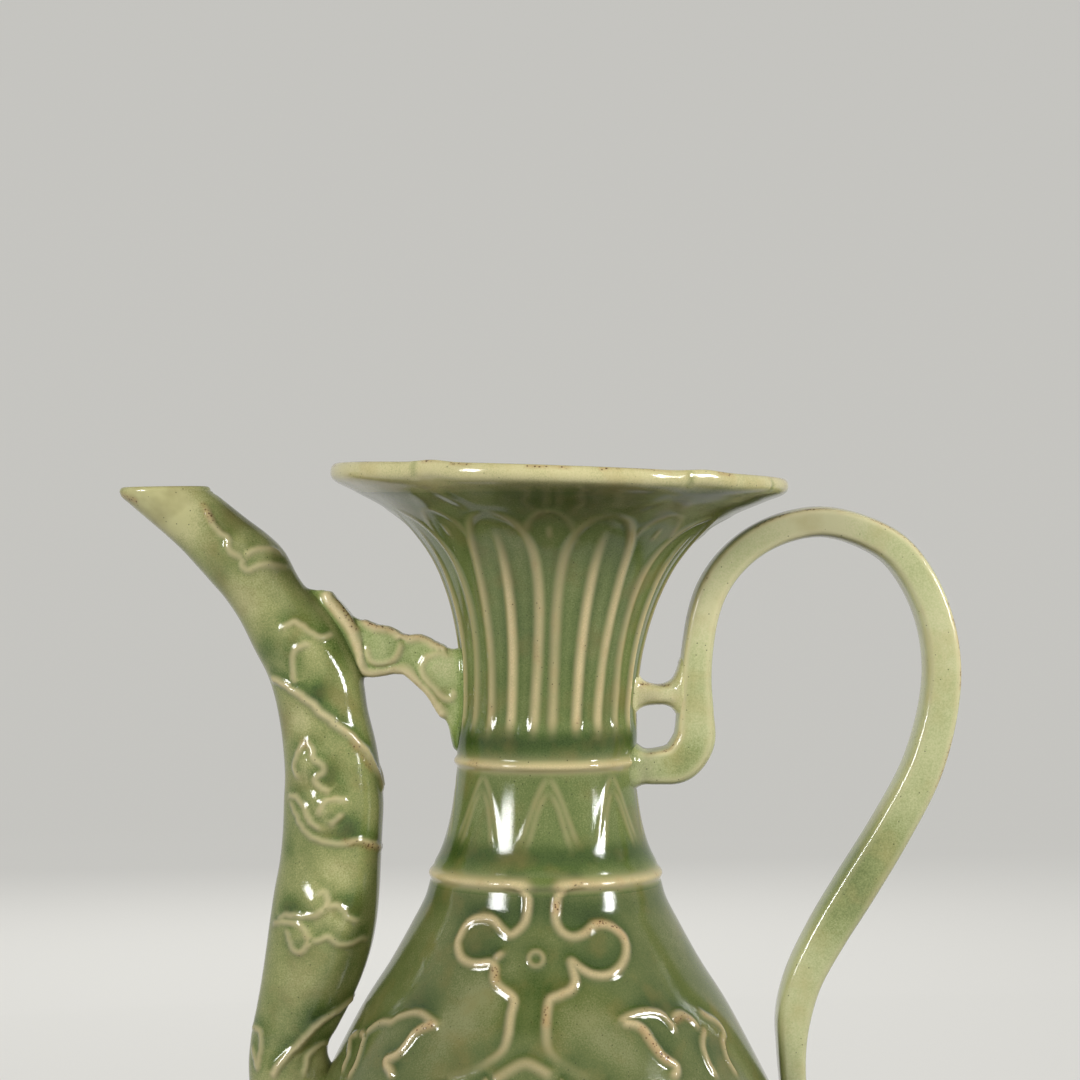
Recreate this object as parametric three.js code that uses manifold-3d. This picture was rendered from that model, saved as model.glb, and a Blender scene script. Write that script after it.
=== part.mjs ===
// Celadon ewer: a pear-shaped vessel with a trumpet mouth, a long spout, a cloud strut and a strap handle.
// Millimetres, +Z up. The origin is on the table under the foot, on the axis of the belly.
// The spout points along -X, the handle along +X, and the front of the vessel faces -Y.

import * as THREE from 'three';
import { mergeVertices } from 'three/addons/utils/BufferGeometryUtils.js';
import Module from 'manifold-3d';

const wasm = await Module();
wasm.setup();

// Driving dimensions of the clay
const WALL = 4;
const FLOOR_THICKNESS = 6;
const FLOOR_COVE = 8;
const LUTING_GAP = 0.3;

// Foot ring
const FOOT_RADIUS = 46.5;
const FOOT_HEIGHT = 10;
const FOOT_WIDTH = 6;
const FOOT_CHAMFER = 1;

// Belly, made in two halves that meet at its widest place
const BELLY_RADIUS = 82;
const LOWER_BODY_HEIGHT = 56;
const UPPER_BODY_HEIGHT = 120.5;
const SHOULDER_RADIUS = 32.6;

// Fillets over the two joints of the neck
const BAND_HEIGHT = 3.8;
const BAND_SEAT_DEPTH = 1.6;
const BAND_PROUD = 0.6;

// Collar
const COLLAR_HEIGHT = 32.3;
const COLLAR_FOOT_RADIUS = 32.2;
const COLLAR_TOP_RADIUS = 25.5;

// Trumpet neck and lip
const NECK_HEIGHT = 74.8;
const NECK_FOOT_RADIUS = 26.2;
const FLARE_RADIUS = 57;
const LIP_RADIUS = 65;
const LIP_RISE = 7.8;
const LIP_HEIGHT = 5;
const LIP_EASE = 1.25;
const LIP_LOBES = 5;
const LOBE_NOTCH_DEPTH = 2;
const LOBE_NOTCH_SHARPNESS = 8;
const LOBE_TURN = THREE.MathUtils.degToRad(2.75);
const NECK_LEAN = 4;
const NECK_TILT = THREE.MathUtils.degToRad(2);

// Spout
const SPOUT_REACH = 120;
const SPOUT_FOOT_Z = 82;
const SPOUT_TIP_Z = 297.4;
const SPOUT_LIP_X = -121.5;
const SPOUT_WIDTH = 32;
const SPOUT_FLATNESS_SHARE = 0.94;
const SPOUT_WALL = 3.2;
const POUR_HOLE_RADIUS = 7;
const POUR_HOLE_Z = 120;

// Cloud strut
const STRUT_THICKNESS = 9;
const STRUT_Z = 220;
const STRUT_HEIGHT = 47;

// Strap handle
const HANDLE_REACH = 113;
const HANDLE_TOP_DROP = 14.1;
const HANDLE_LANDING_Z = 90;
const HANDLE_THICKNESS = 12.5;
const HANDLE_DEPTH = 15.5;

// Bar between neck and handle
const BAR_REACH = 42.3;
const BAR_RISE = 19.2;
const BAR_HEIGHT = 6;
const BAR_DEPTH = 9;

// Fineness of the turned and bent shapes
const TURN_STEPS = 40;
const LOWER_BODY_STEPS = 8;
const UPPER_BODY_STEPS = 10;
const COLLAR_STEPS = 5;
const NECK_STEPS = 10;
const SPOUT_SIDES = 16;
const SPOUT_STEPS = 26;
const BORE_SIDES = 12;
const HANDLE_STEPS = 44;
const CORNER_SIDES = 2;

// Heights of the joints, from the table up
const SEAM_Z = FOOT_HEIGHT + LOWER_BODY_HEIGHT;
const SHOULDER_Z = SEAM_Z + UPPER_BODY_HEIGHT;
const COLLAR_TOP_Z = SHOULDER_Z + COLLAR_HEIGHT;
const FLARE_Z = COLLAR_TOP_Z + NECK_HEIGHT;
const LIP_TOP_Z = FLARE_Z + LIP_RISE;
const HANDLE_TOP_Z = LIP_TOP_Z - HANDLE_TOP_DROP;

// Outlines as shares: how far from the first radius to the second, and how far up
const LOWER_BODY_SHARES = [[0, 0], [0.35, 0.18], [0.69, 0.41], [0.905, 0.66], [0.986, 0.86], [1, 1]];
const UPPER_BODY_SHARES = [
  [0, 0], [0.01, 0.07], [0.061, 0.202], [0.165, 0.33], [0.294, 0.456], [0.447, 0.58],
  [0.62, 0.716], [0.769, 0.812], [0.902, 0.908], [1, 1],
];
const COLLAR_SHARES = [[0, 0], [0.22, 0.14], [0.45, 0.31], [0.7, 0.56], [0.95, 0.83], [1, 1]];
const NECK_SHARES = [
  [0, 0], [-0.04, 0.1], [-0.04, 0.22], [0, 0.42], [0.12, 0.61], [0.3, 0.77],
  [0.54, 0.885], [0.77, 0.952], [1, 1],
];
const LIP_EDGE_SHARES = [[0.6, 0.55], [0.9, 0.72], [1, 1.1]];

// Spout's middle line: how far out from the belly's radius to the tip, how far up, and its width
const SPOUT_SHARES = [
  [-0.47, 0, 0.84], [-0.42, 0.06, 0.9], [-0.38, 0.13, 0.96], [-0.36, 0.214, 0.99], [-0.41, 0.32, 0.97],
  [-0.5, 0.452, 0.935], [-0.56, 0.548, 0.9], [-0.55, 0.627, 0.85], [-0.45, 0.724, 0.77],
  [-0.266, 0.8, 0.71], [-0.006, 0.875, 0.655], [0.445, 0.951, 0.605], [0.74, 0.998, 0.56],
  [1.03, 1.04, 0.54],
];

// Strut's outline: how far from the spout's middle to the neck's side, and how far up
const STRUT_TOP_SHARES = [
  [0.04, 0.99], [0.15, 0.995], [0.21, 0.97], [0.26, 0.935], [0.31, 0.9], [0.37, 0.874], [0.44, 0.848],
  [0.52, 0.818], [0.61, 0.78], [0.67, 0.755], [0.72, 0.758], [0.77, 0.742], [0.84, 0.7], [0.93, 0.678],
  [1.05, 0.62],
];
const STRUT_UNDERSIDE_SHARES = [
  [1.05, 0.01], [0.995, 0.07], [0.97, 0.16], [0.93, 0.23], [0.89, 0.305], [0.84, 0.37], [0.79, 0.43],
  [0.71, 0.48], [0.65, 0.51], [0.54, 0.51], [0.41, 0.504], [0.3, 0.53], [0.04, 0.53],
];

// Handle's middle line from the neck up to its outermost place, and from there down to the belly
const HANDLE_RISE_SHARES = [
  [-0.03, -0.015, 0.8], [0.056, -0.018, 0.83], [0.135, 0.003, 0.98], [0.186, 0.085, 1],
  [0.188, 0.207, 0.86], [0.188, 0.339, 0.76], [0.196, 0.47, 0.72], [0.215, 0.616, 0.72],
  [0.244, 0.718, 0.73], [0.296, 0.818, 0.73], [0.378, 0.909, 0.72], [0.482, 0.972, 0.71],
  [0.6, 0.997, 0.71], [0.718, 0.967, 0.74], [0.838, 0.886, 0.79], [0.917, 0.761, 0.82],
  [0.975, 0.59, 0.83], [0.998, 0.404, 0.86],
];
const HANDLE_FALL_SHARES = [
  [0.969, 0.728, 0.88], [0.845, 0.642, 0.93], [0.615, 0.556, 0.97], [0.343, 0.47, 1], [0.135, 0.405, 0.95],
  [-0.035, 0.341, 0.87], [-0.11, 0.289, 0.82], [-0.125, 0.241, 0.68], [-0.115, 0.193, 0.61],
  [-0.08, 0.142, 0.58], [-0.025, 0.086, 0.5], [0.035, 0.035, 0.4], [0.07, 0, 0.33],
];
const STRAP_CORNER_SHARE = 0.55;

// Glaze tones, and the bare clay of the foot
const GLAZE = {
  body: 0x7a8152,
  neck: 0x8b8f5e,
  ridge: 0xb4ab84,
  lip: 0xcfc792,
  strap: 0xb0ae82,
};
const BARE_CLAY = 0x8a5f40;
const GLAZE_ROUGHNESS = 0.12;
const CLAY_ROUGHNESS = 0.6;

// A point between two ends of an outline
function between(startRadius, startZ, endRadius, endZ, [across, up]) {
  const { lerp } = THREE.MathUtils;
  return new THREE.Vector2(lerp(startRadius, endRadius, across), lerp(startZ, endZ, up));
}

// A smooth outline through shares of the way from a start to an end
function outline(startRadius, startZ, endRadius, endZ, shares, steps) {
  const knots = shares.map((share) => between(startRadius, startZ, endRadius, endZ, share));
  return new THREE.SplineCurve(knots).getPoints(steps);
}

// The outline moved square to itself by a thickness, towards the axis when it runs upwards
function insideOf(points, thickness) {
  return points.map((point, index) => {
    const before = points[Math.max(index - 1, 0)];
    const after = points[Math.min(index + 1, points.length - 1)];
    const way = after.clone().sub(before).normalize();
    return new THREE.Vector2(point.x - way.y * thickness, point.y + way.x * thickness);
  });
}

// A closed solid turned about the Z axis, facets lined up with the lobes of the lip
function turned(points) {
  const geometry = new THREE.LatheGeometry(points, TURN_STEPS, -LOBE_TURN);
  geometry.rotateX(Math.PI / 2);
  return geometry;
}

// A closed ring's outline ends where it starts
function closed(points) {
  return [...points, points[0].clone()];
}

// How far up the leaning neck a height is, from the upper joint to the lip
function leanShare(z) {
  return Math.max((z - COLLAR_TOP_Z) / (LIP_TOP_Z - COLLAR_TOP_Z), 0);
}

// The neck leans towards the handle, and its mouth dips that way
function lean(geometry) {
  const places = geometry.attributes.position;
  const sink = Math.tan(NECK_TILT);
  for (let i = 0; i < places.count; i += 1) {
    const share = leanShare(places.getZ(i));
    const x = places.getX(i);
    places.setZ(i, places.getZ(i) - x * sink * share * share);
    places.setX(i, x + NECK_LEAN * share);
  }
  return geometry;
}

// One closed body for cutting and joining
function solid(geometry) {
  const bare = geometry.clone();
  bare.deleteAttribute('normal');
  bare.deleteAttribute('uv');
  const merged = mergeVertices(bare);
  return new wasm.Manifold(new wasm.Mesh({
    numProp: 3,
    vertProperties: new Float32Array(merged.attributes.position.array),
    triVerts: new Uint32Array(merged.index.array),
  }));
}

// A cut or joined body back as geometry
function geometryOf(body) {
  const mesh = body.getMesh();
  const geometry = new THREE.BufferGeometry();
  geometry.setAttribute('position', new THREE.BufferAttribute(mesh.vertProperties, 3));
  geometry.setIndex(new THREE.BufferAttribute(mesh.triVerts, 1));
  geometry.computeVertexNormals();
  return geometry;
}

// A straight unit extrusion carried onto a curve in the middle plane, with its own width at each place.
// A round outline gets as many sides as it is given, a round corner half of that.
function bent(shape, steps, curve, widths, depthOf, sides) {
  const curveSegments = sides / 2;
  const geometry = new THREE.ExtrudeGeometry(shape, { depth: 1, steps, bevelEnabled: false, curveSegments });
  const places = geometry.attributes.position;
  const across = new THREE.Vector3(0, 1, 0);
  for (let i = 0; i < places.count; i += 1) {
    const share = THREE.MathUtils.clamp(places.getZ(i), 0, 1);
    const middle = curve.getPoint(share);
    const side = across.clone().cross(curve.getTangent(share));
    const width = widths.getPoint(share).y;
    middle.addScaledVector(side, places.getX(i) * width / 2);
    middle.addScaledVector(across, places.getY(i) * depthOf(width) / 2);
    places.setXYZ(i, middle.x, middle.y, middle.z);
  }
  return geometry;
}

// Unit circle as an outline
function unitCircle() {
  const shape = new THREE.Shape();
  shape.absarc(0, 0, 1, 0, 2 * Math.PI, false);
  return shape;
}

// Unit square with round corners as an outline
function unitStrap() {
  const corner = STRAP_CORNER_SHARE;
  const reach = 1 - corner;
  const quarter = Math.PI / 2;
  const shape = new THREE.Shape();
  shape.absarc(reach, reach, corner, 0, quarter, false);
  shape.absarc(-reach, reach, corner, quarter, 2 * quarter, false);
  shape.absarc(-reach, -reach, corner, 2 * quarter, 3 * quarter, false);
  shape.absarc(reach, -reach, corner, 3 * quarter, 4 * quarter, false);
  return shape;
}

const halfBand = BAND_HEIGHT / 2;
const lowerSeatRadius = SHOULDER_RADIUS - BAND_SEAT_DEPTH;
const upperSeatRadius = COLLAR_TOP_RADIUS - BAND_SEAT_DEPTH;

const lowerBodyOutline = outline(
  FOOT_RADIUS - FOOT_CHAMFER, FOOT_HEIGHT, BELLY_RADIUS, SEAM_Z, LOWER_BODY_SHARES, LOWER_BODY_STEPS,
);
const upperBodyOutline = outline(
  BELLY_RADIUS, SEAM_Z, SHOULDER_RADIUS, SHOULDER_Z - halfBand, UPPER_BODY_SHARES, UPPER_BODY_STEPS,
);
const collarFootZ = SHOULDER_Z + halfBand;
const collarEndZ = COLLAR_TOP_Z - halfBand;
const collarOutline = outline(
  COLLAR_FOOT_RADIUS, collarFootZ, COLLAR_TOP_RADIUS, collarEndZ, COLLAR_SHARES, COLLAR_STEPS,
);
const neckOutline = outline(
  NECK_FOOT_RADIUS, COLLAR_TOP_Z + halfBand, FLARE_RADIUS, FLARE_Z, NECK_SHARES, NECK_STEPS,
);

// The seat that a fillet lies in, as the lower or upper part of a wall
function seat(radius, fromZ, toZ) {
  return [new THREE.Vector2(radius, fromZ), new THREE.Vector2(radius, toZ)];
}

// Outer radius of the belly at a height
function bellyRadiusAt(z) {
  const points = [...lowerBodyOutline, ...upperBodyOutline];
  const next = points.findIndex((point) => point.y > z);
  const low = points[next - 1];
  const high = points[next];
  return THREE.MathUtils.mapLinear(z, low.y, high.y, low.x, high.x);
}

// The whole vessel without its hollow, grown by the luting gap: what the fitted pieces are cut with
function vesselBlank() {
  const skin = [
    ...lowerBodyOutline,
    ...upperBodyOutline,
    new THREE.Vector2(SHOULDER_RADIUS + BAND_PROUD, SHOULDER_Z),
    ...collarOutline,
    new THREE.Vector2(COLLAR_TOP_RADIUS + BAND_PROUD, COLLAR_TOP_Z),
    ...neckOutline,
  ];
  const grown = insideOf(skin, -LUTING_GAP);
  return solid(lean(turned([
    new THREE.Vector2(0, FOOT_HEIGHT),
    ...grown,
    new THREE.Vector2(0, FLARE_Z),
  ])));
}

// A plain ring under the belly, its outer and inner edges eased where it stands
function footRing() {
  const innerRadius = FOOT_RADIUS - FOOT_WIDTH;
  return turned(closed([
    new THREE.Vector2(innerRadius + FOOT_CHAMFER, 0),
    new THREE.Vector2(FOOT_RADIUS - FOOT_CHAMFER, 0),
    new THREE.Vector2(FOOT_RADIUS, FOOT_CHAMFER),
    new THREE.Vector2(FOOT_RADIUS - FOOT_CHAMFER, FOOT_HEIGHT),
    new THREE.Vector2(innerRadius - FOOT_CHAMFER, FOOT_HEIGHT),
    new THREE.Vector2(innerRadius, FOOT_CHAMFER),
  ]));
}

// The bowl up to the luting seam, with the floor that the foot ring carries
function lowerBody() {
  const floorZ = FOOT_HEIGHT + FLOOR_THICKNESS;
  const inner = insideOf(lowerBodyOutline, WALL).filter((point) => point.y > floorZ + WALL);
  inner[inner.length - 1].y = SEAM_Z;
  return turned([
    new THREE.Vector2(0, FOOT_HEIGHT),
    ...lowerBodyOutline,
    ...inner.reverse(),
    new THREE.Vector2(inner[inner.length - 1].x - FLOOR_COVE, floorZ),
    new THREE.Vector2(0, floorZ),
  ]);
}

// The upper half of the belly, pierced behind the spout
function upperBody() {
  const inner = insideOf(upperBodyOutline, WALL);
  inner[0].y = SEAM_Z;
  const shell = solid(turned(closed([
    ...upperBodyOutline,
    ...seat(lowerSeatRadius, SHOULDER_Z - halfBand, SHOULDER_Z),
    new THREE.Vector2(lowerSeatRadius - WALL, SHOULDER_Z),
    ...inner.reverse().filter((point) => point.x > lowerSeatRadius - WALL),
  ])));
  const drill = new THREE.CylinderGeometry(POUR_HOLE_RADIUS, POUR_HOLE_RADIUS, BELLY_RADIUS, BORE_SIDES);
  drill.rotateZ(Math.PI / 2);
  drill.translate(-BELLY_RADIUS, 0, POUR_HOLE_Z);
  return geometryOf(shell.subtract(solid(drill)));
}

// A half-round fillet in the seat over a joint
function band(seatRadius, faceRadius, jointZ) {
  const low = jointZ - halfBand + LUTING_GAP;
  const high = jointZ + halfBand - LUTING_GAP;
  const bore = seatRadius + LUTING_GAP;
  return turned(closed([
    new THREE.Vector2(bore, low),
    new THREE.Vector2(faceRadius - BAND_PROUD / 2, low),
    new THREE.Vector2(faceRadius + BAND_PROUD, jointZ),
    new THREE.Vector2(faceRadius - BAND_PROUD / 2, high),
    new THREE.Vector2(bore, high),
  ]));
}

// The short waisted cylinder between the fillets
function neckCollar() {
  const inner = insideOf(collarOutline, WALL);
  return turned(closed([
    ...seat(lowerSeatRadius, SHOULDER_Z, collarFootZ),
    ...collarOutline,
    ...seat(upperSeatRadius, collarEndZ, COLLAR_TOP_Z),
    new THREE.Vector2(upperSeatRadius - WALL, COLLAR_TOP_Z),
    ...inner.slice(1, -1).reverse(),
    new THREE.Vector2(lowerSeatRadius - WALL, SHOULDER_Z),
  ]));
}

// The trumpet up to the joint with the lip
function trumpetNeck() {
  const inner = insideOf(neckOutline, WALL);
  return lean(turned(closed([
    ...seat(upperSeatRadius, COLLAR_TOP_Z, COLLAR_TOP_Z + halfBand),
    ...neckOutline,
    new THREE.Vector2(FLARE_RADIUS, FLARE_Z + LIP_HEIGHT),
    ...inner.slice(1, -1).reverse(),
    new THREE.Vector2(upperSeatRadius - WALL, COLLAR_TOP_Z),
  ])));
}

// The lip around the trumpet, drawn in at the notches between its lobes
function mouthRim() {
  const bore = FLARE_RADIUS + LUTING_GAP;
  const lipFootZ = LIP_TOP_Z - LIP_HEIGHT;
  const edge = LIP_EDGE_SHARES.map((share) => between(bore, FLARE_Z, LIP_RADIUS, lipFootZ, share));
  const geometry = turned(closed([
    new THREE.Vector2(bore, FLARE_Z),
    ...edge,
    new THREE.Vector2(LIP_RADIUS, LIP_TOP_Z - LIP_EASE),
    new THREE.Vector2(LIP_RADIUS - LIP_EASE, LIP_TOP_Z),
    new THREE.Vector2(bore, FLARE_Z + LIP_HEIGHT),
  ]));
  const places = geometry.attributes.position;
  for (let i = 0; i < places.count; i += 1) {
    const x = places.getX(i);
    const y = places.getY(i);
    const radius = Math.hypot(x, y);
    const turn = Math.atan2(x, -y) + LOBE_TURN;
    const notch = Math.abs(Math.sin(turn * LIP_LOBES / 2)) ** LOBE_NOTCH_SHARPNESS;
    const reach = (radius - bore) / (LIP_RADIUS - bore);
    const pulled = (radius - LOBE_NOTCH_DEPTH * notch * reach) / radius;
    places.setX(i, x * pulled);
    places.setY(i, y * pulled);
  }
  return lean(geometry);
}

// The spout's middle line, and its width along it
function spoutLine() {
  const out = (share) => -THREE.MathUtils.lerp(BELLY_RADIUS, SPOUT_REACH, share);
  const up = (share) => THREE.MathUtils.lerp(SPOUT_FOOT_Z, SPOUT_TIP_Z, share);
  const middle = SPOUT_SHARES.map(([across, rise]) => new THREE.Vector3(out(across), 0, up(rise)));
  const widths = SPOUT_SHARES.map(([, rise, width]) => new THREE.Vector2(up(rise), width * SPOUT_WIDTH));
  return { curve: new THREE.CatmullRomCurve3(middle), widths };
}

// The spout or its bore: the same line, grown or shrunk all round
function spoutSolid(growth, sides) {
  const { curve, widths } = spoutLine();
  const grown = widths.map((point) => new THREE.Vector2(point.x, point.y + 2 * growth));
  const depthOf = (width) => width * SPOUT_FLATNESS_SHARE;
  return solid(bent(unitCircle(), SPOUT_STEPS, curve, new THREE.SplineCurve(grown), depthOf, sides));
}

// A block on one side of a plane, large enough for any piece
function block(x, y, z) {
  const size = 2 * (SPOUT_REACH + LIP_TOP_Z);
  const geometry = new THREE.BoxGeometry(size, size, size);
  geometry.translate(x * size / 2, y * size / 2, z * size / 2);
  return geometry;
}

// Half of the spout: bored, fitted to the belly, cut level and blunt at the tip and split along its middle
function spoutHalf(side) {
  const above = block(0, 0, 1);
  above.translate(0, 0, SPOUT_TIP_Z);
  const beyond = block(-1, 0, 0);
  beyond.translate(SPOUT_LIP_X, 0, 0);
  const whole = spoutSolid(0, SPOUT_SIDES).subtract(spoutSolid(-SPOUT_WALL, BORE_SIDES));
  const trimmed = whole.subtract(solid(above)).subtract(solid(beyond));
  return geometryOf(trimmed.subtract(vesselBlank()).intersect(solid(block(0, side, 0))));
}

// The cloud-edged plate between spout and neck
function cloudStrut() {
  const { curve } = spoutLine();
  const share = (STRUT_Z + STRUT_HEIGHT / 2 - SPOUT_FOOT_Z) / (SPOUT_TIP_Z - SPOUT_FOOT_Z);
  const nearest = SPOUT_SHARES.findIndex(([, rise]) => rise > share) / (SPOUT_SHARES.length - 1);
  const startX = curve.getPoint(nearest).x;
  const place = (point) => between(startX, STRUT_Z, -NECK_FOOT_RADIUS, STRUT_Z + STRUT_HEIGHT, point);
  const top = STRUT_TOP_SHARES.map(place);
  const underside = STRUT_UNDERSIDE_SHARES.map(place);
  const shape = new THREE.Shape();
  shape.moveTo(top[0].x, top[0].y);
  shape.splineThru(top.slice(1));
  shape.lineTo(underside[0].x, underside[0].y);
  shape.splineThru(underside.slice(1));
  const depth = STRUT_THICKNESS;
  const plate = new THREE.ExtrudeGeometry(shape, { depth, bevelEnabled: false, curveSegments: 1 });
  plate.translate(0, 0, -depth / 2);
  plate.rotateX(Math.PI / 2);
  return geometryOf(solid(plate).subtract(vesselBlank()).subtract(spoutSolid(LUTING_GAP, SPOUT_SIDES)));
}

// The handle's middle line, and its width along it
function handleLine() {
  const { lerp } = THREE.MathUtils;
  const landingRadius = bellyRadiusAt(HANDLE_LANDING_Z + HANDLE_THICKNESS);
  const rise = HANDLE_RISE_SHARES.map(([across, up, width]) => [
    lerp(NECK_FOOT_RADIUS, HANDLE_REACH, across), lerp(COLLAR_TOP_Z, HANDLE_TOP_Z, up), width,
  ]);
  const fall = HANDLE_FALL_SHARES.map(([across, up, width]) => [
    lerp(landingRadius, HANDLE_REACH, across), lerp(HANDLE_LANDING_Z, HANDLE_TOP_Z, up), width,
  ]);
  const rows = [...rise, ...fall];
  return {
    curve: new THREE.CatmullRomCurve3(rows.map(([x, z]) => new THREE.Vector3(x, 0, z))),
    widths: rows.map(([x, , width]) => new THREE.Vector2(x, width * HANDLE_THICKNESS)),
  };
}

// The strap as one body, grown all round
function handleSolid(growth) {
  const { curve, widths } = handleLine();
  const grown = widths.map((point) => new THREE.Vector2(point.x, point.y + 2 * growth));
  const depthOf = () => HANDLE_DEPTH + 2 * growth;
  return solid(bent(unitStrap(), HANDLE_STEPS, curve, new THREE.SplineCurve(grown), depthOf, CORNER_SIDES));
}

// The strap fitted to neck and belly
function handleStrap() {
  return geometryOf(handleSolid(0).subtract(vesselBlank()));
}

// The short bar from the neck to the rising part of the handle
function handleBar() {
  const bar = new THREE.CylinderGeometry(1, 1, BAR_REACH, BORE_SIDES);
  bar.rotateZ(Math.PI / 2);
  bar.scale(1, BAR_DEPTH / 2, BAR_HEIGHT / 2);
  bar.translate(BAR_REACH / 2, 0, COLLAR_TOP_Z + BAR_RISE);
  return geometryOf(solid(bar).subtract(vesselBlank()).subtract(handleSolid(LUTING_GAP)));
}

// One named piece in its own glaze tone
function piece(name, geometry, color, roughness = GLAZE_ROUGHNESS) {
  const material = new THREE.MeshStandardMaterial({ color, roughness, metalness: 0 });
  const mesh = new THREE.Mesh(geometry, material);
  mesh.name = name;
  return mesh;
}

const ewer = new THREE.Group();
ewer.name = 'celadon_ewer';
ewer.add(
  piece('foot_ring', footRing(), BARE_CLAY, CLAY_ROUGHNESS),
  piece('lower_body', lowerBody(), GLAZE.body),
  piece('upper_body', upperBody(), GLAZE.body),
  piece('lower_neck_band', band(lowerSeatRadius, SHOULDER_RADIUS, SHOULDER_Z), GLAZE.ridge),
  piece('neck_collar', neckCollar(), GLAZE.neck),
  piece('upper_neck_band', band(upperSeatRadius, COLLAR_TOP_RADIUS, COLLAR_TOP_Z), GLAZE.ridge),
  piece('trumpet_neck', trumpetNeck(), GLAZE.neck),
  piece('mouth_rim', mouthRim(), GLAZE.lip),
  piece('spout_left_half', spoutHalf(-1), GLAZE.neck),
  piece('spout_right_half', spoutHalf(1), GLAZE.neck),
  piece('cloud_strut', cloudStrut(), GLAZE.strap),
  piece('handle_strap', handleStrap(), GLAZE.strap),
  piece('handle_bar', handleBar(), GLAZE.strap),
);

export default ewer;
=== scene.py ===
"""Celadon ewer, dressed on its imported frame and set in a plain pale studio.

The pieces are turned, lofted and modelled in millimetres and written in metres. The relief and the glaze
follow the photograph, whose 1080 by 1080 frame gives every size that ends in _px.
"""

import logging
import math
from collections.abc import Callable, Sequence
from dataclasses import dataclass, field, replace
from enum import Enum

import bmesh
import bpy
import numpy as np
from bpy.types import Material, NodeSocket, NodeTree, Object
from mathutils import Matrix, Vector
from mathutils.kdtree import KDTree


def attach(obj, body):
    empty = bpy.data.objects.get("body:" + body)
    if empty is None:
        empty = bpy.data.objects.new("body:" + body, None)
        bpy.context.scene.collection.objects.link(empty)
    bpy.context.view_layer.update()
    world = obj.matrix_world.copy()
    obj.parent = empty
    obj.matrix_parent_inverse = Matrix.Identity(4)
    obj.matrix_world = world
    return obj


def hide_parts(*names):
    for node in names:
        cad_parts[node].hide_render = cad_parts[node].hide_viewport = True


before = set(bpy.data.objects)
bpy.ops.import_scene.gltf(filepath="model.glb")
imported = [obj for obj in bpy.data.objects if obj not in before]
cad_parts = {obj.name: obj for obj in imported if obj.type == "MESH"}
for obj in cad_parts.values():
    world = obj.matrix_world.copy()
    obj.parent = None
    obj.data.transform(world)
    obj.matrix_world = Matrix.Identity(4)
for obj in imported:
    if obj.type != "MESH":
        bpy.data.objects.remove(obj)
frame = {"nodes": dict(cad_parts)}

LOG = logging.getLogger("ewer")
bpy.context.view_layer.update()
MM = 0.001
WELD = 0.002  # points of a shape that lie nearer than this, in millimetres, are one
PIXEL_STEP = 3.0  # spacing of the points of a line that is drawn in the photograph
LINE_STEP = 1.0  # spacing of the points of a line that is laid on the vessel
SECTION_STEPS = 720  # steps round a section, half of them in front
Knots = Sequence[Sequence[float]]


# Lines


def evenly(points: np.ndarray, spacing: float) -> np.ndarray:
    """Spread points evenly along a line.

    Args:
        points: the line, one row for each point.
        spacing: the greatest distance between two points.

    Returns:
        The line with even spacing.
    """
    steps = np.linalg.norm(np.diff(points, axis=0), axis=1)
    along = np.concatenate([[0.0], np.cumsum(steps)])
    count = max(int(math.ceil(along[-1] / spacing)), 2) + 1
    places = np.linspace(0, along[-1], count)
    return np.stack([np.interp(places, along, column) for column in points.T], axis=1)


def smooth_line(knots: Knots, spacing: float) -> np.ndarray:
    """Draw a smooth line through its knots.

    Args:
        knots: points that the line passes through, in any number of dimensions.
        spacing: the greatest distance between two points of the line.

    Returns:
        Evenly spaced points, one row each.
    """
    steps_a_knot = 20
    no_gap = 1e-9
    points = np.asarray(knots, dtype=float)
    ends = np.vstack([2 * points[0] - points[1], points, 2 * points[-1] - points[-2]])
    gaps = np.sqrt(np.linalg.norm(np.diff(ends, axis=0), axis=1) + no_gap)
    shares = np.linspace(0, 1, steps_a_knot, endpoint=False)[:, None]
    rows = []
    for index in range(1, len(ends) - 2):
        before, start, stop, after = ends[index - 1:index + 3]
        t1 = gaps[index - 1]
        t2 = t1 + gaps[index]
        t3 = t2 + gaps[index + 1]
        t = t1 + shares * (t2 - t1)
        first = (t1 - t) / t1 * before + t / t1 * start
        middle = (t2 - t) / (t2 - t1) * start + (t - t1) / (t2 - t1) * stop
        last = (t3 - t) / (t3 - t2) * stop + (t - t2) / (t3 - t2) * after
        lower = (t2 - t) / t2 * first + t / t2 * middle
        upper = (t3 - t) / (t3 - t1) * middle + (t - t1) / (t3 - t1) * last
        rows.append((t2 - t) / (t2 - t1) * lower + (t - t1) / (t2 - t1) * upper)
    rows.append(points[-1:])
    return evenly(np.vstack(rows), spacing)


def mirrored(half: Knots) -> np.ndarray:
    """Complete a line that ends on its upright axis with its mirror image."""
    half = np.asarray(half, dtype=float)
    return np.vstack([half, half[-2::-1] * (-1, 1)])


def unit_rows(vectors: np.ndarray) -> np.ndarray:
    """Scale each row to length 1."""
    return vectors / np.linalg.norm(vectors, axis=1)[:, None]


def left_of(line: np.ndarray) -> np.ndarray:
    """Unit normals on the left of a plane line."""
    way = unit_rows(np.gradient(line, axis=0))
    return np.stack([-way[:, 1], way[:, 0]], axis=1)


def ramp(values: np.ndarray, start: float, stop: float) -> np.ndarray:
    """Rise smoothly from 0 at start to 1 at stop."""
    share = np.clip((values - start) / (stop - start), 0, 1)
    return share * share * (3 - 2 * share)


# The photograph's camera


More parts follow.
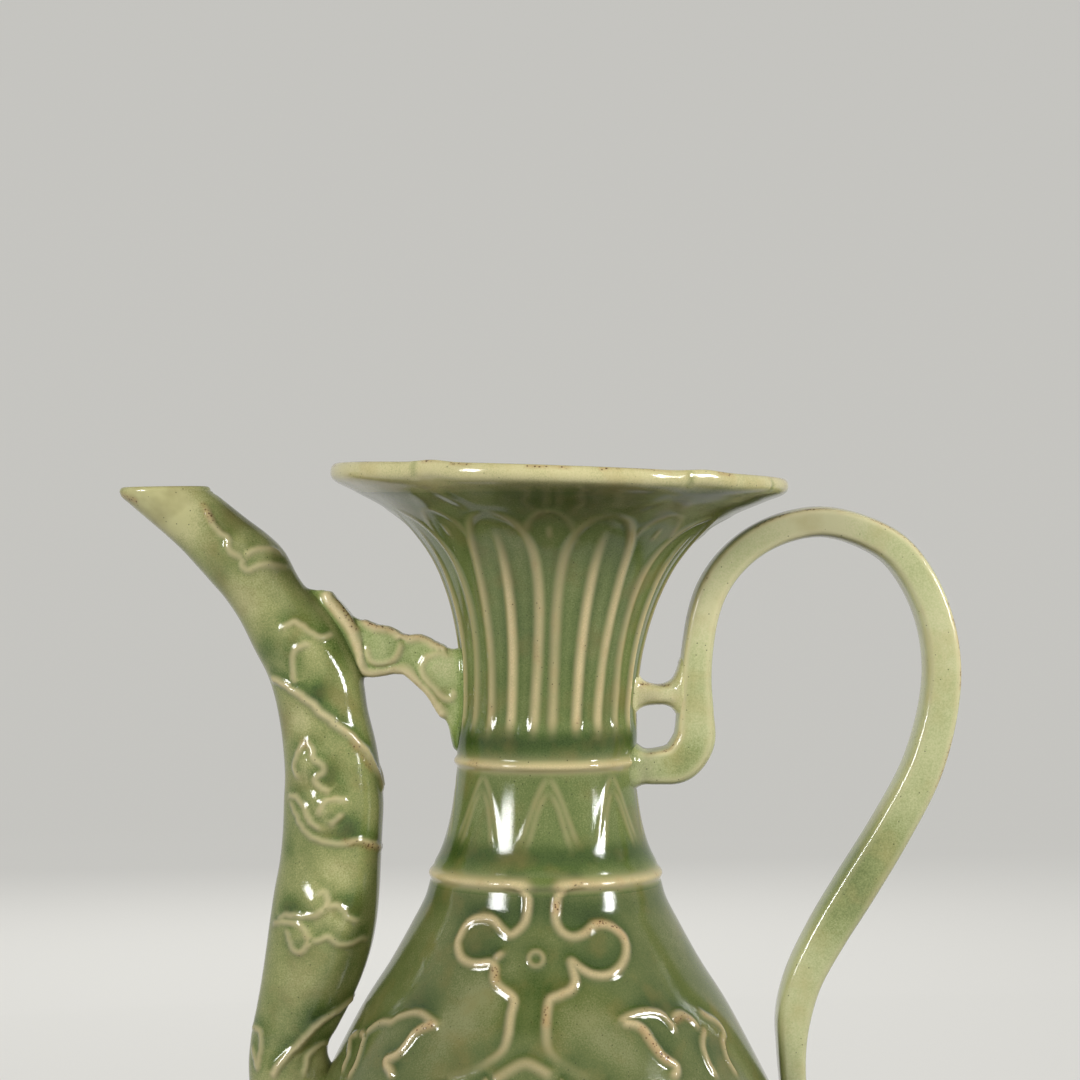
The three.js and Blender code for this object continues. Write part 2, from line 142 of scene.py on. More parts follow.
@dataclass(frozen=True)
class PhotoView:
    """The level camera of the photograph, which also places what was measured in its frame."""

    eye: tuple[float, float, float] = (-1.6, -735.0, 281.9)
    lens: float = 86.0
    sensor: float = 36.0
    frame_px: float = 1080.0
    sees_to_m: float = 50.0

    @property
    def focal_px(self) -> float:
        """Focal length in pixels of the photograph."""
        return self.frame_px * self.lens / self.sensor

    def at_depth(self, pixels: np.ndarray, depth: float | np.ndarray) -> np.ndarray:
        """Place pixels on a plane across the view.

        Args:
            pixels: rows of x and y in the photograph.
            depth: the plane's place along Y, or one for each pixel.

        Returns:
            Rows of x, y and z in millimetres.
        """
        pixels = np.asarray(pixels, dtype=float)
        scale = (depth - self.eye[1]) / self.focal_px
        x = self.eye[0] + (pixels[:, 0] - self.frame_px / 2) * scale
        z = self.eye[2] - (pixels[:, 1] - self.frame_px / 2) * scale
        return np.stack([x, np.broadcast_to(depth, x.shape), z], axis=1)

    def pixels_of(self, points: np.ndarray) -> np.ndarray:
        """Find where points show in the photograph.

        Args:
            points: rows of x, y and z in millimetres.

        Returns:
            Rows of x and y in pixels.
        """
        scale = self.focal_px / (points[:, 1] - self.eye[1])
        across = self.frame_px / 2 + (points[:, 0] - self.eye[0]) * scale
        down = self.frame_px / 2 - (points[:, 2] - self.eye[2]) * scale
        return np.stack([across, down], axis=1)

    def contours_of(self, pixels: Knots) -> np.ndarray:
        """Place pairs of contour points in the vessel's middle plane.

        Args:
            pixels: rows of x and y on the near contour, then x and y on the far one.

        Returns:
            Rows of x and z on the near contour, then x and z on the far one.
        """
        seen = np.asarray(pixels, dtype=float)
        return np.hstack([self.at_depth(seen[:, start:start + 2], 0.0)[:, ::2] for start in (0, 2)])

    def make_camera(self) -> Object:
        """Set the scene's camera where the photograph was taken.

        Returns:
            The camera.
        """
        data = bpy.data.cameras.new("camera")
        data.lens = self.lens
        data.sensor_width = self.sensor
        camera = bpy.data.objects.new("camera", data)
        bpy.context.collection.objects.link(camera)
        camera.location = Vector(self.eye) * MM
        camera.rotation_euler = (math.radians(90), 0, 0)
        data.clip_end = self.sees_to_m
        bpy.context.scene.camera = camera
        return camera


VIEW = PhotoView()


# The turned skin of belly and neck


@dataclass(frozen=True)
class Lean:
    """The neck leans towards the handle, and its mouth dips that way."""

    foot_z: float = 218.8
    lip_z: float = 301.4
    shift: float = 4.0
    tilt: float = math.radians(2)

    def apply(self, points: np.ndarray) -> np.ndarray:
        """Lean points that were turned about an upright axis.

        Args:
            points: rows of x, y and z.

        Returns:
            The leaning points.
        """
        share = np.maximum((points[:, 2] - self.foot_z) / (self.lip_z - self.foot_z), 0)
        leaning = points.copy()
        leaning[:, 2] -= points[:, 0] * math.tan(self.tilt) * share * share
        leaning[:, 0] += self.shift * share
        return leaning

    def shift_at(self, heights: np.ndarray) -> np.ndarray:
        """How far the axis has moved at these heights."""
        return self.shift * np.maximum((heights - self.foot_z) / (self.lip_z - self.foot_z), 0)


@dataclass
class Skin:
    """The outline that the whole vessel is turned from, as radius and height."""

    belly: Knots = (
        (45.5, 10), (58.3, 20.1), (70.7, 33), (78.5, 47), (81.5, 58.2), (82, 66), (81.5, 74.3), (79, 90),
        (73.9, 105.1), (67.5, 120.1), (60.2, 134.6), (51.5, 150.8), (44.1, 162.3), (37.8, 173.6),
        (34.3, 180.4),
    )
    shoulder: Knots = ((33.2, 184), (32.3, 187.4), (31.6, 190.4), (30.1, 193.5), (28.9, 196.6))
    collar: Knots = (
        (27.4, 202.1), (26.3, 207.8), (25.5, 213.5), (25.2, 217.2), (25.3, 220.6), (25.65, 223.4),
    )
    neck: Knots = (
        (25.7, 226.4), (25.5, 229), (25.05, 231.2), (24.8, 233.2), (24.85, 238), (25.9, 250.6),
        (29.4, 264.8), (34.9, 276.4), (42.3, 284.9), (49.6, 290), (57, 293.6),
    )
    lower_band: tuple[float, float, float] = (187.8, 2.3, 1.0)
    upper_band: tuple[float, float, float] = (219.3, 2.0, 0.9)
    wall: float = 4.0
    spacing: float = 0.25
    flare_rise: float = 20.0
    # a pixel's point is sought from front_y back to the axis in steps of march
    front_y: float = -90.0
    march: float = 0.2
    lean: Lean = field(default_factory=Lean)
    outer: np.ndarray = field(init=False)
    inner: np.ndarray = field(init=False)

    def __post_init__(self) -> None:
        """Draw the outer line with its two fillets, and the inner line a wall's thickness away."""
        plain = smooth_line([*self.belly, *self.shoulder, *self.collar, *self.neck], self.spacing)
        self.inner = plain + left_of(plain) * self.wall
        self.outer = plain.copy()
        for centre, half, proud in (self.lower_band, self.upper_band):
            near = np.abs(plain[:, 1] - centre) < half
            rise = np.cos((plain[near, 1] - centre) / half * math.pi / 2) ** 2
            self.outer[near, 0] += proud * rise

    def radius_at(self, heights: np.ndarray) -> np.ndarray:
        """Outer radius at these heights."""
        return np.interp(heights, self.outer[:, 1], self.outer[:, 0])

    def height_at(self, radius: float) -> float:
        """Height at which the flare of the neck has this radius."""
        flare = self.outer[self.outer[:, 1] > self.lean.foot_z + self.flare_rise]
        return float(np.interp(radius, flare[:, 0], flare[:, 1]))

    def slice_of(self, line: np.ndarray, low: float, high: float, spacing: float) -> np.ndarray:
        """Cut a stretch out of the outer or the inner line.

        Args:
            line: the outer or inner line.
            low: height where the stretch starts.
            high: height where it ends.
            spacing: the greatest distance between its points.

        Returns:
            The stretch from bottom to top.
        """
        margin = 0.05
        low_end = [np.interp(low, line[:, 1], line[:, 0]), low]
        high_end = [np.interp(high, line[:, 1], line[:, 0]), high]
        between = line[(line[:, 1] > low + margin) & (line[:, 1] < high - margin)]
        return evenly(np.vstack([low_end, between, high_end]), spacing)

    def on_surface(self, angles: np.ndarray, heights: np.ndarray) -> np.ndarray:
        """Find points of the outer surface.

        Args:
            angles: degrees round the axis from the front, towards the handle.
            heights: heights before the neck leans.

        Returns:
            Rows of x, y and z.
        """
        turn = np.radians(angles)
        radius = self.radius_at(heights)
        upright = np.stack([radius * np.sin(turn), -radius * np.cos(turn), heights], axis=1)
        return self.lean.apply(upright)

    def laid(self, knots: Knots, centre: float) -> np.ndarray:
        """Lay a line on the outer surface.

        Args:
            knots: degrees from the centre, and heights before the neck leans.
            centre: degrees round the axis from the front, towards the handle.

        Returns:
            Rows of x, y and z.
        """
        line = smooth_line(knots, LINE_STEP)
        return self.on_surface(centre + line[:, 0], line[:, 1])

    def under_pixels(self, pixels: Knots) -> np.ndarray:
        """Find the points of the front that these pixels of the photograph show.

        Args:
            pixels: rows of x and y in the photograph.

        Returns:
            Rows of x, y and z on the outer surface.
        """
        pixels = np.asarray(pixels, dtype=float)
        best = np.full(len(pixels), np.inf)
        found = VIEW.at_depth(pixels, 0.0)
        reached = np.zeros(len(pixels), dtype=bool)
        for depth in np.arange(self.front_y, self.march, self.march):
            points = VIEW.at_depth(pixels, depth)
            across = points[:, 0] - self.lean.shift_at(points[:, 2])
            outside = np.hypot(across, depth) - self.radius_at(points[:, 2])
            take = ~reached & (outside < best)
            best[take] = outside[take]
            found[take] = points[take]
            reached |= outside <= 0
        return found

    def facing(self, points: np.ndarray) -> np.ndarray:
        """Outward normals of the turned skin beside these points.

        Args:
            points: rows of x, y and z.

        Returns:
            Rows of x, y and z, of length 1.
        """
        slope = unit_rows(np.gradient(self.outer, axis=0))
        rise = np.interp(points[:, 2], self.outer[:, 1], slope[:, 1])
        spread = np.interp(points[:, 2], self.outer[:, 1], slope[:, 0])
        across = points[:, 0] - self.lean.shift_at(points[:, 2])
        on_axis = 1e-6
        radius = np.maximum(np.hypot(across, points[:, 1]), on_axis)
        return np.stack([across / radius * rise, points[:, 1] / radius * rise, -spread], axis=1)

    def clearance(self, points: np.ndarray) -> np.ndarray:
        """Distance of points from the outer surface, outwards."""
        across = points[:, 0] - self.lean.shift_at(points[:, 2])
        return np.hypot(across, points[:, 1]) - self.radius_at(points[:, 2])


SKIN = Skin()


# Relief and pooled glaze


def tree_of(points: np.ndarray) -> KDTree:
    """Sort points so that the nearest is found quickly.

    Args:
        points: rows of x, y and z.

    Returns:
        The sorted points, numbered as their rows.
    """
    tree = KDTree(len(points))
    for index, point in enumerate(points):
        tree.insert(point, index)
    tree.balance()
    return tree


@dataclass(frozen=True)
class Stroke:
    """How a raised line is modelled.

    Attributes:
        half_width: from the crest to the foot.
        height: how far the crest stands proud, or a groove's depth if it is negative.
        fade: length over which the line rises from the surface at its ends.
        both_ends: whether it also fades where it starts.
        pale: how thin the glaze runs on the crest, from 0 to 1.
        strengths: shares of the height and the paleness, evenly spread from start to end.
        layer: lines of different layers lie over each other, and the higher shows.
    """

    half_width: float
    height: float
    fade: float = 2.0
    both_ends: bool = True
    pale: float = 1.0
    strengths: Sequence[float] = (1.0,)
    layer: int = 0


@dataclass
class Relief:
    """Raised lines, mounds, darker and paler spots, and burnt places, gathered as points on a surface; some
    spots are pools and thin places of the glaze, some are painted shade and painted light.
    """

    lines: dict[int, list[np.ndarray]] = field(default_factory=dict)
    spots: list[tuple[np.ndarray, float, float]] = field(default_factory=list)
    rings: list[tuple[float, float, float]] = field(default_factory=list)
    beads: list[tuple[float, float, float]] = field(default_factory=list)
    gaps: list[tuple[np.ndarray, float]] = field(default_factory=list)
    mounds: list[tuple[np.ndarray, float, float]] = field(default_factory=list)
    scorches: list[tuple[np.ndarray, float, float]] = field(default_factory=list)
    same_behind: bool = True
    spacing: float = 0.3
    blunt_share: float = 0.3
    pool_reach: float = 2.8
    pool_rise: float = 1.6
    pool_depth: float = 0.65
    groove_pool: float = 0.5
    full_groove: float = 0.4
    mound_thins: float = 0.35

    def add_line(self, line: np.ndarray, stroke: Stroke) -> None:
        """Add a raised line.

        Args:
            line: points on the surface.
            stroke: how it is modelled.
        """
        dense = evenly(line, self.spacing)
        along = np.arange(len(dense)) * self.spacing
        start = -self.blunt_share * stroke.fade
        share = ramp(along[::-1], start, stroke.fade)
        if stroke.both_ends:
            share = np.minimum(share, ramp(along, start, stroke.fade))
        places = np.linspace(0, 1, len(stroke.strengths))
        share = share * np.interp(along / along[-1], places, stroke.strengths)
        half_widths = np.full(len(dense), stroke.half_width)
        sizes = np.stack([half_widths, stroke.height * share, stroke.pale * share], axis=1)
        self.lines.setdefault(stroke.layer, []).append(np.hstack([dense, sizes]))

    def add_scorch(self, line: np.ndarray, radius: float, strength: float) -> None:
        """Add a stretch where the glaze is burnt thin and pitted."""
        self.scorches.append((evenly(line, radius), radius, strength))

    def add_spot(self, centre: np.ndarray, radius: float, depth: float) -> None:
        """Add a darker spot, or a paler one if its depth is negative. On the belly these are pools and thin
        places of the glaze; on the handle they are painted shade and painted light.
        """
        self.spots.append((centre, radius, depth))

    def measure(self, points: np.ndarray) -> tuple[np.ndarray, np.ndarray, np.ndarray, np.ndarray]:
        """Measure the relief at points of a surface.

        Args:
            points: rows of x, y and z.

        Returns:
            How far each point is raised, how near it is to a crest from 0 to 1, how deep the glaze lies
            with any painted shade and painted light, and how burnt it is.
        """
        if self.same_behind:
            points = points * (1, 0, 1) - np.abs(points) * (0, 1, 0)
        raised = np.zeros(len(points))
        crest = np.zeros(len(points))
        depth = np.zeros(len(points))
        burnt = np.zeros(len(points))
        for lines in self.lines.values():
            samples = np.vstack(lines)
            tree = tree_of(samples[:, :3])
            indices, away = self.nearest(tree, points)
            half, height, pale = samples[indices, 3:].T
            shape = np.cos(np.clip(away / half, 0, 1) * math.pi / 2) ** 2
            raised = np.where(np.abs(shape * height) > np.abs(raised), shape * height, raised)
            crest = np.maximum(crest, shape * pale)
            depth += self.groove_pool * shape * np.clip(-height / self.full_groove, 0, 1)
            indices, away = self.nearest(tree, points - (0, 0, self.pool_rise))
            depth += self.pool_depth * samples[indices, 5] * np.exp(-(away / self.pool_reach) ** 2)
        for centre, radius, strength in self.spots:
            gap = np.linalg.norm(points - centre, axis=1)
            depth += strength * np.exp(-(gap / radius) ** 2)
        for height, half, strength in self.rings:
            depth += strength * np.exp(-((points[:, 2] - height) / half) ** 2)
        for height, half, strength in self.beads:
            crest = np.maximum(crest, strength * np.exp(-((points[:, 2] - height) / half) ** 2))
        for centre, radius, height in self.mounds:
            swell = np.exp(-(np.linalg.norm(points - centre, axis=1) / radius) ** 2)
            raised += height * swell
            depth -= self.mound_thins * swell
        for centre, radius in self.gaps:
            crest *= 1 - np.exp(-(np.linalg.norm(points - centre, axis=1) / radius) ** 4)
        for line, radius, strength in self.scorches:
            gap = np.min([np.linalg.norm(points - spot, axis=1) for spot in line], axis=0)
            burnt = np.maximum(burnt, strength * np.exp(-(gap / radius) ** 2))
        return raised, crest, depth, burnt

    @staticmethod
    def nearest(tree: KDTree, points: np.ndarray) -> tuple[np.ndarray, np.ndarray]:
        """Find each point's nearest sample and how far away it is."""
        found = [tree.find(point)[1:] for point in points]
        return np.array([index for index, _ in found]), np.array([distance for _, distance in found])


# Meshes


def new_object(name: str, bm: bmesh.types.BMesh, sharp: float = math.radians(50)) -> Object:
    """Turn a bmesh in millimetres into a smooth-shaded object in metres.

    Args:
        name: the piece's name.
        bm: its shape, which is used up.
        sharp: an edge that turns more than this keeps its crease.

    Returns:
        The object.
    """
    bmesh.ops.remove_doubles(bm, verts=bm.verts, dist=WELD)
    bmesh.ops.recalc_face_normals(bm, faces=bm.faces)
    for face in bm.faces:
        face.smooth = True
    for edge in bm.edges:
        edge.smooth = len(edge.link_faces) == 2 and edge.calc_face_angle(0.0) < sharp
    mesh = bpy.data.meshes.new(name)
    bm.to_mesh(mesh)
    bm.free()
    piece = bpy.data.objects.new(name, mesh)
    bpy.context.collection.objects.link(piece)
    write_points(piece, points_of(piece))
    return piece


def points_of(piece: Object) -> np.ndarray:
    """The piece's vertices as rows of x, y and z."""
    flat = np.empty(len(piece.data.vertices) * 3)
    piece.data.vertices.foreach_get("co", flat)
    return flat.reshape(-1, 3)


def normals_of(piece: Object) -> np.ndarray:
    """The piece's vertex normals."""
    flat = np.empty(len(piece.data.vertices) * 3)
    piece.data.vertices.foreach_get("normal", flat)
    return flat.reshape(-1, 3)


def write_points(piece: Object, points: np.ndarray) -> None:
    """Write vertices given in millimetres to the piece in metres."""
    piece.data.vertices.foreach_set("co", (points * MM).ravel())
    piece.data.update()


def write_share(piece: Object, name: str, values: np.ndarray) -> None:
    """Give each vertex a number that the glaze reads."""
    attribute = piece.data.attributes.new(name, "FLOAT", "POINT")
    attribute.data.foreach_set("value", values.astype(np.float32))


def spun_wall(name: str, outline: np.ndarray, steps: int, start: float = 0.0, sweep: float = 360.0,
              shape: Callable[[np.ndarray], np.ndarray] | None = None) -> Object:
    """Turn an outline about the upright axis.

    Args:
        name: the piece's name.
        outline: rows of radius and height, closed unless it starts and ends on the axis.
        steps: number of faces round the sweep.
        start: where the sweep starts, in degrees from the front towards the handle.
        sweep: how far it goes round.
        shape: changes the turned points before they lean with the neck.

    Returns:
        The piece, with its cut ends closed.
    """
    bm = bmesh.new()
    turn = math.radians(start)
    side, ahead = math.sin(turn), -math.cos(turn)
    verts = [bm.verts.new((radius * side, radius * ahead, height)) for radius, height in outline]
    first = 1 if outline[0][0] == 0 else 0
    edges = [bm.edges.new((verts[index], verts[index - 1])) for index in range(first, len(verts))]
    whole = sweep >= 360
    bmesh.ops.spin(bm, geom=verts + edges, cent=(0, 0, 0), axis=(0, 0, 1), angle=math.radians(sweep),
                   steps=steps, use_merge=whole)
    bmesh.ops.remove_doubles(bm, verts=bm.verts, dist=WELD)
    if not whole:
        bmesh.ops.holes_fill(bm, edges=[edge for edge in bm.edges if edge.is_boundary])
    piece = new_object(name, bm)
    points = points_of(piece) / MM
    if shape:
        points = shape(points)
    write_points(piece, SKIN.lean.apply(points))
    return piece


def rounded_section(power: float) -> np.ndarray:
    """Draw a unit section between an ellipse, at power 2, and a box.

    Args:
        power: how boxy the section is.

    Returns:
        Rows of the places across and deep, once round.
    """
    turns = np.radians(np.linspace(0, 360, SECTION_STEPS + 1))
    across, deep = np.cos(turns), np.sin(turns)
    across = np.sign(across) * np.abs(across) ** (2 / power)
    deep = np.sign(deep) * np.abs(deep) ** (2 / power)
    return np.stack([across, deep], axis=1)


@dataclass
class Loft:
    """A body between two contours in the middle plane, with its depth along them."""

    near: np.ndarray
    far: np.ndarray
    depths: np.ndarray
    unit: np.ndarray
    least: float = 0.2

    def row(self, index: int, count: int, part: slice = slice(None), shrink: float = 0.0,
            lift: float = 0.0) -> np.ndarray:
        """Find the points of one section.

        Args:
            index: which pair of contour points.
            count: number of points.
            part: stretch of the unit section that is wanted.
            shrink: how far the section is drawn in all round.
            lift: how far it is moved past the body's first section.

        Returns:
            Rows of x, y and z, evenly spread.
        """
        near, far = self.near[index], self.far[index]
        centre = (near + far) / 2
        reach = near - centre
        length = np.linalg.norm(reach)
        way = np.array([reach[1], -reach[0]]) / length
        across, deep = self.unit[part].T
        plane = centre + np.outer(across, reach) * max(length - shrink, self.least) / length + way * lift
        depth = max(self.depths[index] - shrink, self.least)
        loop = np.stack([plane[:, 0], -deep * depth, plane[:, 1]], axis=1)
        along = np.concatenate([[0.0], np.cumsum(np.linalg.norm(np.diff(loop, axis=0), axis=1))])
        places = np.linspace(0, along[-1], count)
        return np.stack([np.interp(places, along, column) for column in loop.T], axis=1)

    def bar(self, name: str, count: int) -> Object:
        """Wrap the whole body, closed at both ends, with this many faces round it."""
        rows = [self.row(index, count + 1)[:-1] for index in range(len(self.near))]
        return wrapped(name, rows, closed_around=True)


def wrapped(name: str, rows: list[np.ndarray], closed_around: bool) -> Object:
    """Wrap a grid over rows of points.

    Args:
        name: the piece's name.
        rows: equally long rows, one after another.
        closed_around: each row is a loop; otherwise the last row joins the first.

    Returns:
        The piece, with its open ends closed.
    """
    bm = bmesh.new()
    around = len(rows[0])
    across = around if closed_around else around - 1
    along = len(rows) - 1 if closed_around else len(rows)
    bmesh.ops.create_grid(bm, x_segments=across, y_segments=along, size=0.5)
    places = np.array([vert.co[:2] for vert in bm.verts])
    places = (places - places.min(axis=0)) / np.ptp(places, axis=0)
    columns = np.rint(places[:, 0] * across).astype(int) % around
    lines = np.rint(places[:, 1] * along).astype(int) % len(rows)
    stack = np.stack(rows)
    for vert, line, column in zip(bm.verts, lines, columns):
        vert.co = stack[line, column]
    bmesh.ops.remove_doubles(bm, verts=bm.verts, dist=WELD)
    bmesh.ops.holes_fill(bm, edges=[edge for edge in bm.edges if edge.is_boundary])
    return new_object(name, bm)


def seen_on(piece: Object, pixels: Knots) -> np.ndarray:
    """Find the points on the front of a piece that a line of the photograph shows.

    Args:
        piece: the piece that carries the line.
        pixels: knots of the line in the photograph.

    Returns:
        Rows of x, y and z on the piece.
    """
    neighbours = 4
    turned_away = -0.02
    front = points_of(piece)[facing_of(piece)[:, 1] < turned_away] / MM
    tree = tree_of(np.hstack([VIEW.pixels_of(front), np.zeros((len(front), 1))]))
    found = []
    for across, down in smooth_line(pixels, PIXEL_STEP):
        near = tree.find_n((across, down, 0), neighbours)
        found.append(front[[index for _, index, _ in near]].mean(axis=0))
    return np.array(found)


def spot_on(piece: Object, across: float, down: float) -> np.ndarray:
    """Find the point on the front of a piece that this pixel of the photograph shows."""
    return seen_on(piece, ((across - 1, down), (across + 1, down)))[1]


def facing_of(piece: Object) -> np.ndarray:
    """The piece's vertex normals, kept in the middle plane where the piece is cut there.

    Args:
        piece: the piece, which may be half of one.

    Returns:
        Rows of x, y and z, of length 1.
    """
    plane_thickness = 0.004 * MM
    no_length = 1e-6
    normals = normals_of(piece)
    on_plane = np.abs(points_of(piece)[:, 1]) < plane_thickness
    normals[on_plane, 1] = 0
    return normals / np.maximum(np.linalg.norm(normals, axis=1), no_length)[:, None]


def carve(piece: Object, relief: Relief, flare: float = 0.0, swell: float = 0.5,
          host: KDTree | None = None, host_flare: float = 2.6, gathered: float = 0.55) -> None:
    """Raise the relief on a piece and note where the glaze is thin, deep or burnt, and where spots of
    painted shade and painted light lie.

    Args:
        piece: the piece, whose surface is still plain.
        relief: what is raised on it.
        flare: height of the slip fillet where the piece meets the vessel, or 0 for a turned piece.
        swell: how far the fillet spreads for its height.
        host: points of another piece that this one is luted to, in millimetres.
        host_flare: height of the fillet there.
        gathered: how much deeper the glaze lies in the fillets.
    """
    relief_clear, pale_clear = 0.6, 0.8  # shares of a fillet where the relief and its pale crest are whole
    gather_mm = 2.0  # how far the deep glaze spreads from the root of a fillet
    thinnest, deepest = -1, 1.4
    points = points_of(piece) / MM
    raised, crest, depth, burnt = relief.measure(points)
    normals = facing_of(piece) if flare else SKIN.facing(points)
    fillets = [(SKIN.clearance(points), flare)] if flare else []
    if host:
        fillets.append((relief.nearest(host, points)[1], host_flare))
    for clear, reach in fillets:
        gap = np.clip(clear / reach, 0, 1)
        raised = raised * ramp(gap, 0, relief_clear) + swell * reach * (1 - gap) ** 2
        crest *= ramp(gap, 0, pale_clear)
        depth += gathered * np.exp(-(gap * reach / gather_mm) ** 2)
    write_points(piece, points + normals * raised[:, None])
    write_share(piece, "crest", crest)
    write_share(piece, "depth", np.clip(depth, thinnest, deepest))
    write_share(piece, "burnt", burnt)


# Glaze, clay and the nodes that make them


Source = NodeSocket | float | tuple[float, ...]


def linear(sheet: str) -> tuple[float, ...]:
    """Turn an sRGB hex colour into linear red, green, blue and alpha."""
    channels = [int(sheet[place:place + 2], 16) / 255 for place in (1, 3, 5)]  # the sRGB standard's curve
    return (*(c / 12.92 if c <= 0.04045 else ((c + 0.055) / 1.055) ** 2.4 for c in channels), 1.0)


def add_node(tree: NodeTree, kind: str, values: dict, output: int | str = 0) -> NodeSocket:
    """Add a shader node with its settings and links.

    Args:
        tree: the material's nodes.
        kind: the node's type.
        values: settings by name, and sockets by name or number with a value or another node's output.
        output: which output is wanted.

    Returns:
        That output.
    """
    node = tree.nodes.new(kind)
    for key, value in values.items():
        if isinstance(key, str) and hasattr(node, key):
            setattr(node, key, value)
        elif isinstance(value, NodeSocket):
            tree.links.new(value, node.inputs[key])
        else:
            node.inputs[key].default_value = value
    return node.outputs[output]


def maths(tree: NodeTree, operation: str, *inputs: Source, clamp: bool = False) -> Source:
    """Add a node that works out one number from up to three."""
    return add_node(tree, "ShaderNodeMath", {
        "operation": operation, "use_clamp": clamp, **dict(enumerate(inputs))})


def remap(tree: NodeTree, value: Source, start: float = 0.0, stop: float = 1.0,
          low: float = 0.0, high: float = 1.0) -> Source:
    """Add a node that turns the span from start to stop into the span from low to high."""
    return add_node(tree, "ShaderNodeMapRange", {0: value, 1: start, 2: stop, 3: low, 4: high})


def mix(tree: NodeTree, share: Source, under: Source, over: Source) -> Source:
    """Add a node that lays one colour over another."""
    return add_node(tree, "ShaderNodeMix", {"data_type": "RGBA", 0: share, 6: under, 7: over}, 2)


@dataclass(frozen=True)
class Clouds:
    """Soft uneven patches of a real size, which can be narrowed to where they are strongest."""

    size_mm: float
    detail: float
    start: float = 0.0
    full: float = 1.0
    most: float = 1.0

    def make(self, tree: NodeTree, place: Source) -> Source:
        """Add the noise."""
        return add_node(tree, "ShaderNodeTexNoise", {
            "Vector": place, "Scale": 1 / (self.size_mm * MM), "Detail": self.detail})

    def patches(self, tree: NodeTree, place: Source) -> Source:
        """Add the noise, narrowed to its patches."""
        return remap(tree, self.make(tree, place), self.start, self.full, 0.0, self.most)


@dataclass(frozen=True)
class Dots:
    """Small round dots, with their real distance and their radius as a share of it."""

    pitch_mm: float
    radius: float
    core: float = 0.6

    def make(self, tree: NodeTree, place: Source) -> Source:
        """Add a number that is 1 inside a dot and 0 outside."""
        gap = add_node(tree, "ShaderNodeTexVoronoi", {
            "Vector": place, "Scale": 1 / (self.pitch_mm * MM)})
        return remap(tree, gap, self.radius, self.radius * self.core)


